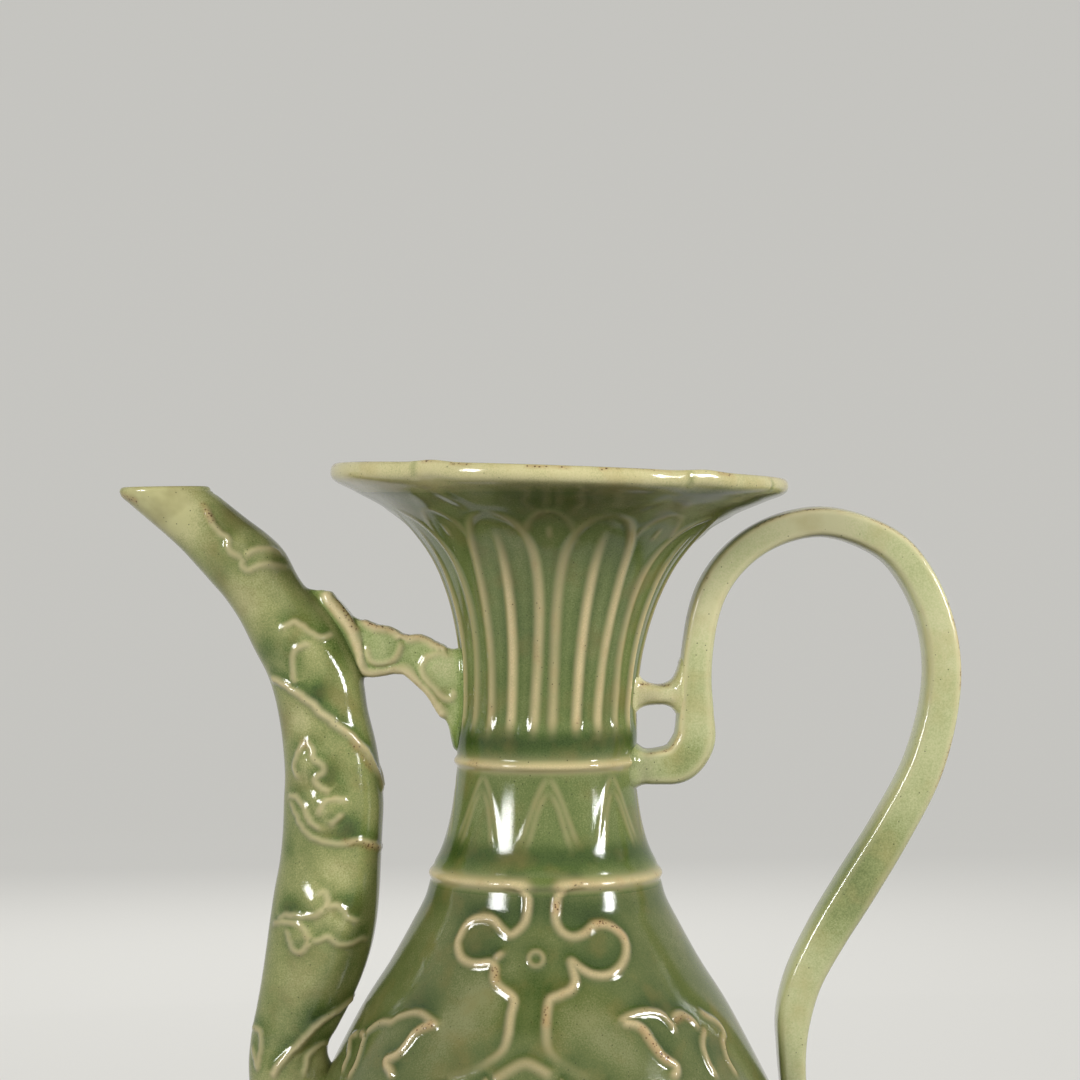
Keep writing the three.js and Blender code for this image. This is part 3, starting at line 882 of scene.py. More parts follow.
@dataclass(frozen=True)
class Glaze:
    """Celadon glaze over grey stoneware: green where it lies deep, buff where it runs thin."""

    # On the handle and at one place on the spout, depth also carries painted shade and painted light.
    # The real finish is a feldspar and wood ash glaze with a little iron, dipped on and melted in a smoky
    # kiln. The melt runs off crests and lips and gathers beside and under them, so its colour follows the
    # numbers crest and depth: buff where it is thin and deep green where it pools, under one hard gloss.
    # Where it burnt, by the number burnt, it is tan with dark pits. Drift and mottle are the uneven coat,
    # and stains its iron. Grain, specks and pits are finer on such a glaze, and are drawn coarser here,
    # because the render would lose them.
    name: str
    thin: str = "#b3ad7c"
    plain: str = "#888b5c"
    deep: str = "#5c6a38"
    pooled: str = "#3a4a22"
    ridge: str = "#d2c590"
    rust: str = "#80733f"
    burnt: str = "#b58c5a"
    pit: str = "#54331f"
    speck: str = "#353b20"
    roughness: float = 0.09
    refraction: float = 1.47
    drift: Clouds = Clouds(24.0, 2.0)
    mottle: Clouds = Clouds(5.0, 3.0)
    grain: Clouds = Clouds(0.42, 1.0)
    cloud_shares: Sequence[float] = (0.45, 0.25, 0.5)
    depth_share: float = 0.6
    depth_start: float = -0.28
    thin_at: float = 0.05
    plain_at: float = 0.33
    deep_at: float = 0.68
    stains: Clouds = Clouds(11.0, 3.0, 0.5, 0.72, 0.45)
    crest_least: float = 0.5
    crest_shares: Sequence[float] = (0.5, 0.3)
    crest_burns: Clouds = Clouds(7.0, 4.0, 0.54, 0.72, 0.5)
    # from and to, then the least and the most
    burn_patches: Sequence[float] = (0.3, 0.62, 0.25, 1.0)
    tan_share: float = 0.65
    specks: Dots = Dots(2.4, 0.1)
    speck_share: float = 0.7
    pits: Dots = Dots(0.9, 0.4)
    pitted: Sequence[float] = (0.15, 0.6, 0.0, 0.95)
    pit_bump: float = -1.5
    bump_mm: float = 0.03
    bump_strength: float = 0.7
    # Below this height the foot was wiped clean, and the clay fired to a matt reddish brown. A height under
    # the table means none.
    bare_below_mm: float = -10.0
    bare_edge_mm: float = 0.6
    clay: str = "#9a6a4a"
    clay_roughness: float = 0.7

    def make(self) -> Material:
        """Build the material.

        Returns:
            A glossy dielectric whose colour follows the depth of the glaze.
        """
        material = bpy.data.materials.new(self.name)
        material.use_nodes = True
        tree = material.node_tree
        tree.nodes.clear()
        place = add_node(tree, "ShaderNodeTexCoord", {}, "Object")
        crest, depth, scorch = (
            add_node(tree, "ShaderNodeAttribute", {"attribute_name": name}, "Fac")
            for name in ("crest", "depth", "burnt")
        )
        clouds = [cloud.make(tree, place) for cloud in (self.drift, self.mottle, self.grain)]
        mottle, grain = clouds[1:]
        level = maths(tree, "MULTIPLY_ADD", depth, self.depth_share, self.depth_start)
        for cloud, share in zip(clouds, self.cloud_shares):
            level = maths(tree, "MULTIPLY_ADD", cloud, share, level)
        colour = self.by_depth(tree, level)
        colour = mix(tree, self.stains.patches(tree, place), colour, linear(self.rust))
        top = maths(tree, "MULTIPLY_ADD", grain, self.crest_shares[0], self.crest_least)
        top = maths(tree, "MULTIPLY_ADD", mottle, self.crest_shares[1], top)
        top = maths(tree, "MULTIPLY", crest, top, clamp=True)
        colour = mix(tree, top, colour, linear(self.ridge))
        burn = maths(tree, "MULTIPLY", self.crest_burns.patches(tree, place), crest)
        scorch = maths(tree, "MULTIPLY", scorch, remap(tree, mottle, *self.burn_patches))
        burn = maths(tree, "MAXIMUM", burn, scorch, clamp=True)
        colour = mix(tree, maths(tree, "MULTIPLY", burn, self.tan_share), colour, linear(self.burnt))
        specks = maths(tree, "MULTIPLY", self.specks.make(tree, place), self.speck_share)
        colour = mix(tree, specks, colour, linear(self.speck))
        pits = maths(tree, "MULTIPLY", self.pits.make(tree, place), remap(tree, burn, *self.pitted))
        colour = mix(tree, pits, colour, linear(self.pit))
        height = add_node(tree, "ShaderNodeSeparateXYZ", {0: place}, 2)
        edge = self.bare_below_mm + self.bare_edge_mm
        glazed = remap(tree, height, self.bare_below_mm * MM, edge * MM)
        shader = add_node(tree, "ShaderNodeBsdfPrincipled", {
            "Base Color": mix(tree, glazed, linear(self.clay), colour),
            "Roughness": remap(tree, glazed, low=self.clay_roughness, high=self.roughness),
            "IOR": self.refraction,
            "Normal": add_node(tree, "ShaderNodeBump", {
                "Height": maths(tree, "MULTIPLY_ADD", pits, self.pit_bump, grain),
                "Distance": self.bump_mm * MM, "Strength": self.bump_strength}),
        })
        output = tree.nodes.new("ShaderNodeOutputMaterial")
        tree.links.new(shader, output.inputs["Surface"])
        return material

    def by_depth(self, tree: NodeTree, level: Source) -> Source:
        """Colour the glaze by its depth.

        Args:
            tree: the material's nodes.
            level: the depth, from thin at 0 to pooled at 1.

        Returns:
            The colour.
        """
        colour = add_node(tree, "ShaderNodeValToRGB", {"Fac": level})
        keys = colour.node.color_ramp
        keys.elements[0].position = self.thin_at
        keys.elements[0].color = linear(self.thin)
        keys.elements[1].position = 1.0
        keys.elements[1].color = linear(self.pooled)
        for position, sheet in ((self.plain_at, self.plain), (self.deep_at, self.deep)):
            keys.elements.new(position).color = linear(sheet)
        return colour


@dataclass(frozen=True)
class PlainPaint:
    """Matt pale card for the floor and backdrop."""

    # The real finish is smooth uncoated card with no gloss. It is darker here and glows a little, so that
    # it looks evenly pale from all sides.
    name: str
    colour: str
    shade: str = "#807f7b"
    glow: float = 0.6
    roughness: float = 0.9

    def make(self) -> Material:
        """Build the material, with a glow that keeps the card pale at a plain level of light.

        Returns:
            A matt material that glows a little.
        """
        material = bpy.data.materials.new(self.name)
        material.use_nodes = True
        shader = material.node_tree.nodes["Principled BSDF"]
        shader.inputs["Base Color"].default_value = linear(self.shade)
        shader.inputs["Roughness"].default_value = self.roughness
        shader.inputs["Emission Color"].default_value = linear(self.colour)
        shader.inputs["Emission Strength"].default_value = self.glow
        return material


class Slot(Enum):
    """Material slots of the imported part."""

    FOOT = "fired_foot"
    BODY = "celadon_body"
    NECK = "celadon_neck"
    RIM = "celadon_rim"
    SPOUT = "celadon_spout"
    HANDLE = "celadon_handle"


def hand_over(piece: Object, node: str, glaze: Glaze) -> None:
    """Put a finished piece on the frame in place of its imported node.

    Args:
        piece: the finished piece.
        node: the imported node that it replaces.
        glaze: its finish.
    """
    material = bpy.data.materials.get(glaze.name) or glaze.make()
    piece.data.materials.append(material)
    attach(piece, "root")
    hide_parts(node)
    LOG.info("%s: %d faces", piece.name, len(piece.data.polygons))


# The vessel


@dataclass
class Belly:
    """Lower and upper body with the stems, sprigs and medallions."""

    # Names that end in _px hold places in the photograph. A pool's place is followed by its radius in
    # millimetres and its strength, and the boss's by its radius in pixels. Below the photograph's edge,
    # frames are degrees from the medallion's middle and heights, and flowers and leaves are millimetres.

    seam_z: float = 66.0
    foot_z: float = 10.0
    base_radius: float = 42.0
    inner_z: float = 24.0
    floor: Knots = ((54.5, 19.2), (49, 16.8), (42, 16.0), (0, 16.0))
    top_z: float = 184.6
    spacing: float = 0.7
    lower_spacing: float = 0.98
    inner_spacing: float = 4.0
    steps: int = 720
    lower_steps: int = 480
    # the darkest coat in the photograph, as where a melt that ran down lies deep
    glaze: Glaze = Glaze("celadon_on_belly", thin="#84865a", plain="#656e3e", deep="#47582a",
                         pooled="#30421b", ridge="#ccb98c")
    stem: Stroke = Stroke(2.1, 0.65, both_ends=False, strengths=(
        1.0, 0.9, 0.8, 1.0, 1.0, 0.9, 1.0, 0.75, 1.0, 0.85, 0.55, 0.12, 0.1))
    medallion: Stroke = Stroke(2.6, 0.6, both_ends=False, pale=0.6)
    sprig: Stroke = Stroke(1.9, 0.65, 2.5, pale=0.75)
    bright: Stroke = Stroke(2.3, 1.0)
    boss: Stroke = Stroke(1.3, 0.35, 0.01, pale=0.5)
    frame: Stroke = Stroke(2.1, 0.65, 0.5)
    petals: Stroke = Stroke(1.3, 0.6, 0.01, pale=0.9)
    stalk: Stroke = Stroke(1.4, 0.6, pale=0.9)
    leaf: Stroke = Stroke(1.3, 0.55, 0.5, pale=0.8)
    spray: Stroke = Stroke(1.5, 0.6, 0.5, pale=0.85)
    lappet: Stroke = Stroke(1.5, 0.5, 0.5, pale=0.75)
    scorch: tuple[float, float] = (1.1, 0.9)
    bead: tuple[float, float, float] = (187.8, 1.7, 1.0)
    stems_px: Sequence[Knots] = (
        ((519, 887), (525, 891), (528, 898), (528, 907), (525, 922), (518, 930.5), (510, 935),
         (502, 929.5), (493, 920), (483, 918), (470, 922), (462, 933), (458, 945), (462, 958), (470, 963),
         (480.5, 964), (491, 963), (495, 968), (494, 979), (499.5, 987), (510, 995), (514, 1000),
         (511, 1015), (508, 1036), (503, 1050), (490, 1061), (472, 1070.5), (443, 1079)),
        ((566, 888), (560, 892), (557, 898), (556, 907), (556, 922), (563, 933), (573, 937), (584, 934),
         (594, 926), (605, 925), (615, 929.5), (624, 939), (626, 952), (622, 964), (613, 973), (603, 976),
         (590, 974), (577, 966), (571, 961), (573, 970.5), (575, 981), (571, 989.5), (560.5, 995),
         (550, 1000), (547, 1015), (546, 1032), (549, 1050), (567, 1066), (590, 1079)),
    )
    medallion_px: Knots = ((497, 1079), (510, 1070.5), (525, 1064), (539.5, 1069.5), (552, 1078))
    sprigs_px: Sequence[Knots] = (
        ((618, 1024), (624.5, 1019), (634, 1014.5), (644, 1012), (653, 1012), (661, 1014.5), (666, 1019),
         (670, 1023), (673.5, 1029), (675.5, 1034)),
        ((671, 1020), (675.5, 1015.5), (681, 1014), (686, 1016.5), (692, 1021), (697, 1027), (699, 1031)),
        ((705, 1027), (703, 1034), (702, 1043), (704, 1053), (708, 1063.5), (713, 1072), (718, 1080)),
        ((697, 1010), (706, 1016.5), (714, 1021), (720, 1027), (723.5, 1034), (722, 1041), (723.5, 1049),
         (726.5, 1059), (732, 1069), (738, 1078)),
        ((365, 1037), (369, 1031), (375, 1026), (380, 1023), (385, 1022), (392.5, 1022), (398, 1018),
         (406, 1015), (415, 1013), (422, 1014), (428, 1018), (435, 1023), (441, 1024)),
        ((359.5, 1033), (352, 1037), (350, 1046), (349, 1056), (345, 1065), (342.5, 1074)),
        ((360, 1032), (365, 1037), (363, 1044), (360, 1055), (356, 1066), (350.5, 1075), (347, 1080)),
    )
    bright_px: Sequence[Knots] = (
        ((620, 1024), (630, 1024), (637, 1026), (643, 1030), (649, 1039), (655, 1048), (662, 1057),
         (669, 1062), (675.5, 1066.5), (675.5, 1073), (671, 1080)),
        ((441, 1024), (433, 1025), (424, 1028), (415, 1034), (409, 1042), (403, 1050), (398, 1055),
         (392.5, 1058), (387, 1060), (388, 1066), (392, 1073), (392, 1080)),
    )
    inner_corner_px: Knots = ((491, 963), (498, 957), (506, 951))
    scorched_px: Sequence[Knots] = (
        ((596, 924), (606, 923), (616, 929), (623, 938)),
        ((641, 1030), (649, 1041), (658, 1053), (666, 1060)),
        ((676, 1021), (684, 1017), (690, 1021)), ((556, 905), (556, 912)), ((495, 970), (496, 980)),
        ((547, 1010), (547, 1024)), ((432, 1025), (420, 1030)),
    )
    boss_px: tuple[float, float, float] = (536.0, 959.0, 7.2)
    boss_points: int = 40
    dark_and_pale_spots_px: Knots = (
        (510, 913, 4.0, 0.4), (577, 919, 4.0, 0.4), (483, 943, 5.0, 0.4), (598, 953, 5.0, 0.4),
        (535, 985, 5.0, 0.35), (533, 1020, 5.0, 0.3), (428, 1003, 5.5, 0.4), (415, 1000, 5.0, 0.3),
        (460, 1060, 5.0, 0.35), (580, 1057, 5.0, 0.35), (608, 1070, 4.0, 0.3), (655, 1003, 6.0, 0.4),
        (680, 1005, 6.0, 0.3), (712, 1047, 4.0, 0.3), (663, 1043, 4.0, 0.3), (483, 998, 7.0, -0.35),
        (455, 1030, 8.0, -0.35), (590, 1023, 8.0, -0.4), (619, 1055, 6.0, -0.3), (640, 901, 6.0, -0.3),
        (543, 882, 3.2, 1.0),
    )
    neck_pool: tuple[float, float, float] = (181.5, 3.5, 0.35)
    medallion_at: float = -6.0
    frame_half: Knots = (
        (20.5, 138.0), (31, 128), (38.5, 113), (41, 96), (37.5, 78), (28, 62), (15, 51), (0, 44),
    )
    inner_half: Knots = (
        (9, 139.5), (17, 132), (27, 124), (33.5, 111), (35.5, 96), (32.5, 80), (24, 66.5), (12.5, 57),
        (0, 50.5),
    )
    stalk_below: Knots = ((0, -11.5), (1.5, -18), (-1, -26), (1, -34), (0, -40))
    leaves_below: Sequence[Knots] = (
        ((1, -19), (6, -15), (13, -14), (18, -17), (13, -21), (6, -22), (1, -19)),
        ((-1, -27), (-6, -23), (-13, -22), (-18, -25), (-13, -29), (-6, -30), (-1, -27)),
        ((0.5, -33), (5, -31), (11, -32), (14, -35), (9, -37.5), (4, -37), (0.5, -33)),
        ((6, 9.5), (9, 14), (9, 20), (5, 24), (3, 18), (4, 12.5), (6, 9.5)),
        ((-6, 9.5), (-9, 14), (-9, 20), (-5, 24), (-3, 18), (-4, 12.5), (-6, 9.5)),
    )
    sprays_below: Sequence[Knots] = (
        ((0, 24), (4, 17), (10, 12), (14, 5), (11, -2), (5, -4), (0, -8)),
        ((0, 24), (-4, 17), (-10, 12), (-14, 5), (-11, -2), (-5, -4), (0, -8)),
        ((0, 15), (3, 9), (0, 1), (-3, 9), (0, 15)),
        ((0, -8), (2, -16), (-1, -24), (0, -32)),
        ((0.5, -17), (6, -14), (12, -16), (8, -21), (0.5, -17)),
        ((-0.5, -22), (-6, -19), (-12, -21), (-8, -26), (-0.5, -22)),
    )
    sprays_at: Sequence[float] = (-62.0, 55.0)
    sprays_z: float = 84.0
    # the radius and the wave of the flower's outer and inner ring
    flower_rings: Knots = ((9.5, 1.6), (3.2, 0.0))
    flower_points: int = 97
    # shares of the pitch between two lappets, and heights
    lappet_half: Knots = ((-0.5, 13), (-0.46, 21), (-0.3, 29), (0, 35))
    petals_in_flower: int = 8
    flower_z: float = 98.0
    lappets: int = 16

    def relief(self) -> Relief:
        """Gather the raised lines, seen and guessed, and the pools of glaze.

        Returns:
            The relief of both halves of the belly.
        """
        relief = Relief()
        for pixels in self.stems_px:
            relief.add_line(self.seen(pixels), self.stem)
        relief.add_line(self.seen(self.medallion_px), self.medallion)
        for pixels in self.sprigs_px:
            relief.add_line(self.seen(pixels), self.sprig)
        relief.add_line(self.seen(self.inner_corner_px), replace(self.sprig, layer=1))
        for pixels in self.bright_px:
            relief.add_line(self.seen(pixels), self.bright)
        for pixels in self.scorched_px:
            relief.add_scorch(self.seen(pixels), *self.scorch)
        across, down, radius = self.boss_px
        turns = np.linspace(0, math.tau, self.boss_points)
        ring = np.stack([across + radius * np.cos(turns), down + radius * np.sin(turns)], axis=1)
        relief.add_line(SKIN.under_pixels(ring), self.boss)
        for across, down, size, strength in self.dark_and_pale_spots_px:
            relief.add_spot(SKIN.under_pixels([(across, down)])[0], size, strength)
        relief.rings.append(self.neck_pool)
        relief.beads.append(self.bead)
        self.add_lower(relief)
        return relief

    def seen(self, pixels: Knots) -> np.ndarray:
        """Lay a line of the photograph on the belly."""
        return SKIN.under_pixels(smooth_line(pixels, PIXEL_STEP))

    def laid(self, knots: Knots, centre: float, centre_z: float) -> np.ndarray:
        """Lay a line on the belly.

        Args:
            knots: millimetres from the centre, to the right and up.
            centre: degrees round the axis from the front.
            centre_z: height of the centre.

        Returns:
            Rows of x, y and z.
        """
        line = smooth_line(knots, LINE_STEP)
        radius = float(SKIN.radius_at(np.array([centre_z]))[0])
        return SKIN.on_surface(centre + np.degrees(line[:, 0] / radius), centre_z + line[:, 1])

    def add_lower(self, relief: Relief) -> None:
        """Add what lies below the photograph's edge: medallion, flower sprays and lappets.

        Args:
            relief: the belly's relief.
        """
        for half in (self.frame_half, self.inner_half):
            relief.add_line(SKIN.laid(mirrored(half), self.medallion_at), self.frame)
        turns = np.linspace(0, math.tau, self.flower_points)
        for radius, wave in self.flower_rings:
            size = radius + wave * np.abs(np.sin(turns * self.petals_in_flower / 2))
            ring = np.stack([size * np.sin(turns), size * np.cos(turns)], axis=1)
            relief.add_line(self.laid(ring, self.medallion_at, self.flower_z), self.petals)
        relief.add_line(self.laid(self.stalk_below, self.medallion_at, self.flower_z), self.stalk)
        for knots in self.leaves_below:
            relief.add_line(self.laid(knots, self.medallion_at, self.flower_z), self.leaf)
        for centre in self.sprays_at:
            for knots in self.sprays_below:
                relief.add_line(self.laid(knots, centre, self.sprays_z), self.spray)
        pitch = 360 / self.lappets
        for index in range(self.lappets):
            knots = mirrored(self.lappet_half) * (pitch, 1)
            relief.add_line(SKIN.laid(knots, (index + 0.5) * pitch), self.lappet)

    def build(self) -> None:
        """Turn the lower body and both halves of the upper body, and raise the relief on them."""
        relief = self.relief()
        outer = SKIN.slice_of(SKIN.outer, self.foot_z, self.seam_z, self.lower_spacing)
        inner = SKIN.slice_of(SKIN.inner, self.inner_z, self.seam_z, self.inner_spacing)[::-1]
        base = ((0, self.foot_z), (self.base_radius, self.foot_z))
        lower = spun_wall("belly_lower", np.vstack([base, outer, inner, self.floor]), self.lower_steps)
        carve(lower, relief)
        hand_over(lower, "lower_body", self.glaze)
        outer = SKIN.slice_of(SKIN.outer, self.seam_z, self.top_z, self.spacing)
        inner = SKIN.slice_of(SKIN.inner, self.seam_z, self.top_z, self.inner_spacing)[::-1]
        for name, start in (("belly_front", -90.0), ("belly_back", 90.0)):
            half = spun_wall(name, np.vstack([outer, inner]), self.steps // 2, start, 180.0)
            carve(half, relief)
            hand_over(half, "upper_body", self.glaze)


@dataclass
class FootRing:
    """Turned ring that the vessel stands on, bare where it touches the table."""

    outline: Knots = (
        (39.7, 0), (45.4, 0), (46.3, 0.5), (46.5, 1.4), (46.2, 4), (45.6, 7), (45.5, 10), (38.4, 10),
        (38.6, 5), (39.1, 0.8), (39.4, 0.2),
    )
    spacing: float = 0.8
    steps: int = 240
    # a plain coat, guessed, and bare clay where the ring stands
    glaze: Glaze = Glaze("celadon_on_foot", thin="#aaa878", plain="#7d7f52", deep="#56603a",
                         bare_below_mm=1.2)

    def build(self) -> None:
        """Turn the ring."""
        outline = evenly(np.array([*self.outline, self.outline[0]]), self.spacing)[:-1]
        ring = spun_wall("turned_foot", outline, self.steps)
        carve(ring, Relief())
        hand_over(ring, "foot_ring", self.glaze)


@dataclass
class Lobes:
    """The lip is pinched in at a few places round the mouth."""

    count: int = 5
    notch_at: float = -38.75
    depth: float = 2.0
    sharpness: int = 8
    inner_radius: float = 46.0
    outer_radius: float = 65.0
    starts_z: float = 270.0
    curl: float = 0.8
    curl_after: float = 5.0
    curl_radius: float = 60.0
    curl_sharpness: int = 32

    def apply(self, points: np.ndarray) -> np.ndarray:
        """Pinch upright points of the flare and lip.

        Args:
            points: rows of x, y and z before the neck leans.

        Returns:
            The pinched points.
        """
        radius = np.hypot(points[:, 0], points[:, 1])
        turn = np.arctan2(points[:, 0], -points[:, 1])
        notch = np.abs(np.cos((turn - math.radians(self.notch_at)) * self.count / 2)) ** self.sharpness
        share = ramp(radius, self.inner_radius, self.outer_radius) * (points[:, 2] > self.starts_z)
        pinched = points.copy()
        pinched[:, :2] *= (1 - self.depth * notch * share / np.maximum(radius, 1))[:, None]
        after = np.cos((turn - math.radians(self.notch_at + self.curl_after)) * self.count / 2)
        rise = np.abs(after) ** self.curl_sharpness * ramp(radius, self.curl_radius, self.outer_radius)
        pinched[:, 2] += self.curl * rise
        return pinched

    def notches(self) -> list[float]:
        """Degrees round the axis of each notch."""
        return [self.notch_at + index * 360 / self.count for index in range(self.count)]


@dataclass
class Neck:
    """Collar, two fillets, trumpet neck with upright petals, and the lobed lip."""

    lower_band: tuple[float, float] = (184.6, 189.4)
    collar: tuple[float, float] = (189.4, 217.2)
    upper_band: tuple[float, float] = (217.2, 221.4)
    # a middling coat, pale on the petals' edges and ribs
    glaze: Glaze = Glaze("celadon_on_neck", thin="#959a64", plain="#6f7c45", deep="#4c5f2a",
                         pooled="#304518", ridge="#dac796")
    # a coat so thin on the sharp lip that it looks buff, with burnt dashes
    rim_glaze: Glaze = Glaze("celadon_on_lip", thin="#dad0a0", plain="#cfc793", deep="#a0a26c",
                             pooled="#6f7c45", ridge="#ddd0a0", rust="#b9a468")
    beads: Knots = ((187.8, 1.7, 0.9), (219.3, 1.7, 0.9))
    rings: Knots = ((226.0, 3.4, 0.9), (195.0, 3.6, 0.8), (183.6, 2.2, 0.75))
    lip_ring: tuple[float, float, float] = (293.2, 2.2, 1.5)
    petal_edge: Stroke = Stroke(2.3, 0.55, 5.0, strengths=(1.0, 1.0, 0.9, 1.0, 1.0, 0.9, 0.55, 0.25))
    petal_rib: Stroke = Stroke(2.3, 0.75, 4.0, strengths=(0.9, 1.0, 1.0, 1.0, 0.7, 0.1))
    back_edge: Stroke = Stroke(2.0, 0.15, 6.0, pale=0.25, layer=1)
    back_rib: Stroke = Stroke(1.6, 0.2, 2.5, pale=0.35, layer=1)
    chevron: Stroke = Stroke(1.6, 0.16, 4.0, pale=0.27)
    notch: Stroke = Stroke(2.3, -0.4, 0.5, pale=0.0)
    crease: Stroke = Stroke(4.0, 0.3, 7.0, pale=0.1, layer=2)
    join: Stroke = Stroke(2.1, 0.6, 3.0, pale=0.9, layer=3)
    fold: Stroke = Stroke(1.8, -0.35, 0.5, pale=0.0)
    lip_scorch: tuple[float, float] = (0.5, 1.0)
    seam_scorch: tuple[float, float] = (1.3, 0.7)
    band_mesh: tuple[float, int] = (0.3, 240)
    collar_mesh: tuple[float, int] = (0.5, 320)
    trumpet_mesh: tuple[float, int] = (0.62, 560)
    lip_spacing: float = 0.6
    inner_spacing: float = 3.0
    inner_top: float = 295.5
    channel_px: tuple[float, float, float] = (543.0, 880.0, 4.2)
    joins_px: Sequence[Knots] = (
        ((500, 884), (510, 885), (518, 887.5), (524, 892), (527.5, 898), (528, 907)),
        ((588, 883), (576, 884), (567, 887), (561, 892), (557.5, 898), (556, 907)),
    )
    wrinkle: Knots = ((63.5, 65, 296.5), (64, 65, 298.6), (63, 65, 301.0))
    band_scorch: Knots = ((14, 187.8), (19, 187.8), (24, 187.8))
    # the burnt dashes on the lip: from and to in degrees, and the height
    lip_scorches: Knots = (
        (-36, -31, 300.9), (-27, -22, 300.9), (-8, 2, 300.9), (9, 27, 300.9), (42, 46, 300.7),
        (62, 80, 300.7), (-84, -76, 300.7), (140, 165, 300.7),
    )
    lip_scorch_radius: float = 64.6
    # how pale the left edge, the rib and the right edge of each petal are
    ridge_strengths: Knots = (
        (0.6, 0.7, 0.5), (0.65, 1.0, 0.75), (0.6, 1.0, 0.9), (0.6, 0.9, 0.6), (0.7, 0.9, 0.7),
        (0.6, 1.0, 0.8), (0.75, 0.95, 0.6), (0.6, 0.9, 0.7),
    )
    lobes: Lobes = field(default_factory=Lobes)
    petal_centres: Sequence[float] = (-69.6, -24.2, 18.0, 63.4, 108.8, 154.2, 199.6, 245.0)
    petal_half: Knots = (
        (15.3, 228), (15.4, 237), (15.8, 245), (16.4, 262), (15.7, 272), (14.0, 279), (11, 284),
        (6.5, 287.4), (0, 289.2),
    )
    rib_line: Knots = ((0, 228.5), (0, 250), (0, 285))
    back_half: Knots = ((-11.0, 279.5), (-9.6, 283.2), (-7.4, 286.4), (-3.8, 288.7), (0, 289.5))
    back_rib_line: Knots = ((0, 282.0), (0, 286.0))
    # from a notch inwards, degrees beside it and radius
    crease_line: Knots = ((2.5, 60), (6, 54), (11, 48))
    chevrons: Sequence[Knots] = (
        ((0, 213.0), (5.5, 208.5), (12.3, 196.8)), ((0, 217.5), (7.5, 210.5), (16.5, 198.0)),
    )
    chevron_at: float = 1.6
    chevron_count: int = 8
    lip: Knots = (
        (57, 293.6), (59.5, 294.75), (61.9, 295.75), (63.6, 296.6), (64.6, 297.5), (65, 298.7),
        (64.85, 300.1), (64.3, 301.0), (63.3, 301.4), (61.5, 300.6), (57, 298.4),
    )
    inner_flare: Knots = ((57, 298.4), (55, 297.45), (52.5, 296.2))
    lip_radius: float = 57.0
    lip_slope: float = 0.3
    notch_line: Knots = ((65, 295.5), (65, 301.3))

    def relief(self, lip: bool = False) -> Relief:
        """Gather petals, chevrons, creases and notches.

        Args:
            lip: also gather the green that rises to the lip's edge.

        Returns:
            The relief of neck or lip.
        """
        relief = Relief(same_behind=False)
        back = mirrored(self.back_half)
        after = (*self.petal_centres[1:], self.petal_centres[0] + 360)
        for centre, following, (left, rib, right) in zip(self.petal_centres, after, self.ridge_strengths):
            for side, pale in ((-1, left), (1, right)):
                edge = SKIN.laid(np.asarray(self.petal_half) * (side, 1), centre)
                relief.add_line(edge, replace(self.petal_edge, pale=pale))
            relief.add_line(SKIN.laid(self.rib_line, centre), replace(self.petal_rib, pale=rib))
            middle = (centre + following) / 2
            relief.add_line(SKIN.laid(back, middle), self.back_edge)
            relief.add_line(SKIN.laid(self.back_rib_line, middle), self.back_rib)
        for index in range(self.chevron_count):
            centre = self.chevron_at + index * 360 / self.chevron_count
            for knots in self.chevrons:
                for side in (-1, 1):
                    relief.add_line(SKIN.laid(np.asarray(knots) * (side, 1), centre), self.chevron)
        for notch in self.lobes.notches():
            relief.add_line(self.under_lip([(notch, *place) for place in self.notch_line]), self.notch)
            for way in (-1, 1):
                crease = [(notch + beside * way, radius) for beside, radius in self.crease_line]
                relief.add_line(self.under_lip(crease), self.crease)
        for start, stop, height in self.lip_scorches:
            dash = [(angle, self.lip_scorch_radius, height) for angle in (start, stop)]
            relief.add_scorch(self.under_lip(dash), *self.lip_scorch)
        relief.add_scorch(SKIN.laid(self.band_scorch, 0.0), *self.seam_scorch)
        relief.rings.extend([*self.rings, self.lip_ring] if lip else self.rings)
        relief.beads.extend(self.beads)
        for pixels in self.joins_px:
            relief.add_line(SKIN.under_pixels(smooth_line(pixels, PIXEL_STEP)), self.join)
        relief.add_line(self.under_lip(self.wrinkle), self.fold)
        *place, reach = self.channel_px
        relief.gaps.append((SKIN.under_pixels([place])[0], reach))
        return relief

    def under_lip(self, knots: Knots) -> np.ndarray:
        """Lay a line given by degrees, radius and perhaps height under the flare.

        Args:
            knots: degrees and radius, with the height where it isn't on the underside.

        Returns:
            Rows of x, y and z.
        """
        rows = []
        for angle, radius, *height in knots:
            under = SKIN.height_at(min(radius, self.lip_radius))
            level = height[0] if height else under + max(radius - self.lip_radius, 0) * self.lip_slope
            turn = math.radians(angle)
            rows.append((radius * math.sin(turn), -radius * math.cos(turn), level))
        return SKIN.lean.apply(self.lobes.apply(smooth_line(rows, 0.5)))

    def ring(self, name: str, span: tuple[float, float], spacing: float, steps: int) -> Object:
        """Turn a ring of the vessel's outline.

        Args:
            name: the ring's name.
            span: heights where it starts and ends.
            spacing: the greatest distance between points of its outer line.
            steps: number of faces round it.

        Returns:
            The ring.
        """
        outer = SKIN.slice_of(SKIN.outer, *span, spacing)
        inner = SKIN.slice_of(SKIN.inner, *span, self.inner_spacing)[::-1]
        return spun_wall(name, np.vstack([outer, inner]), steps)

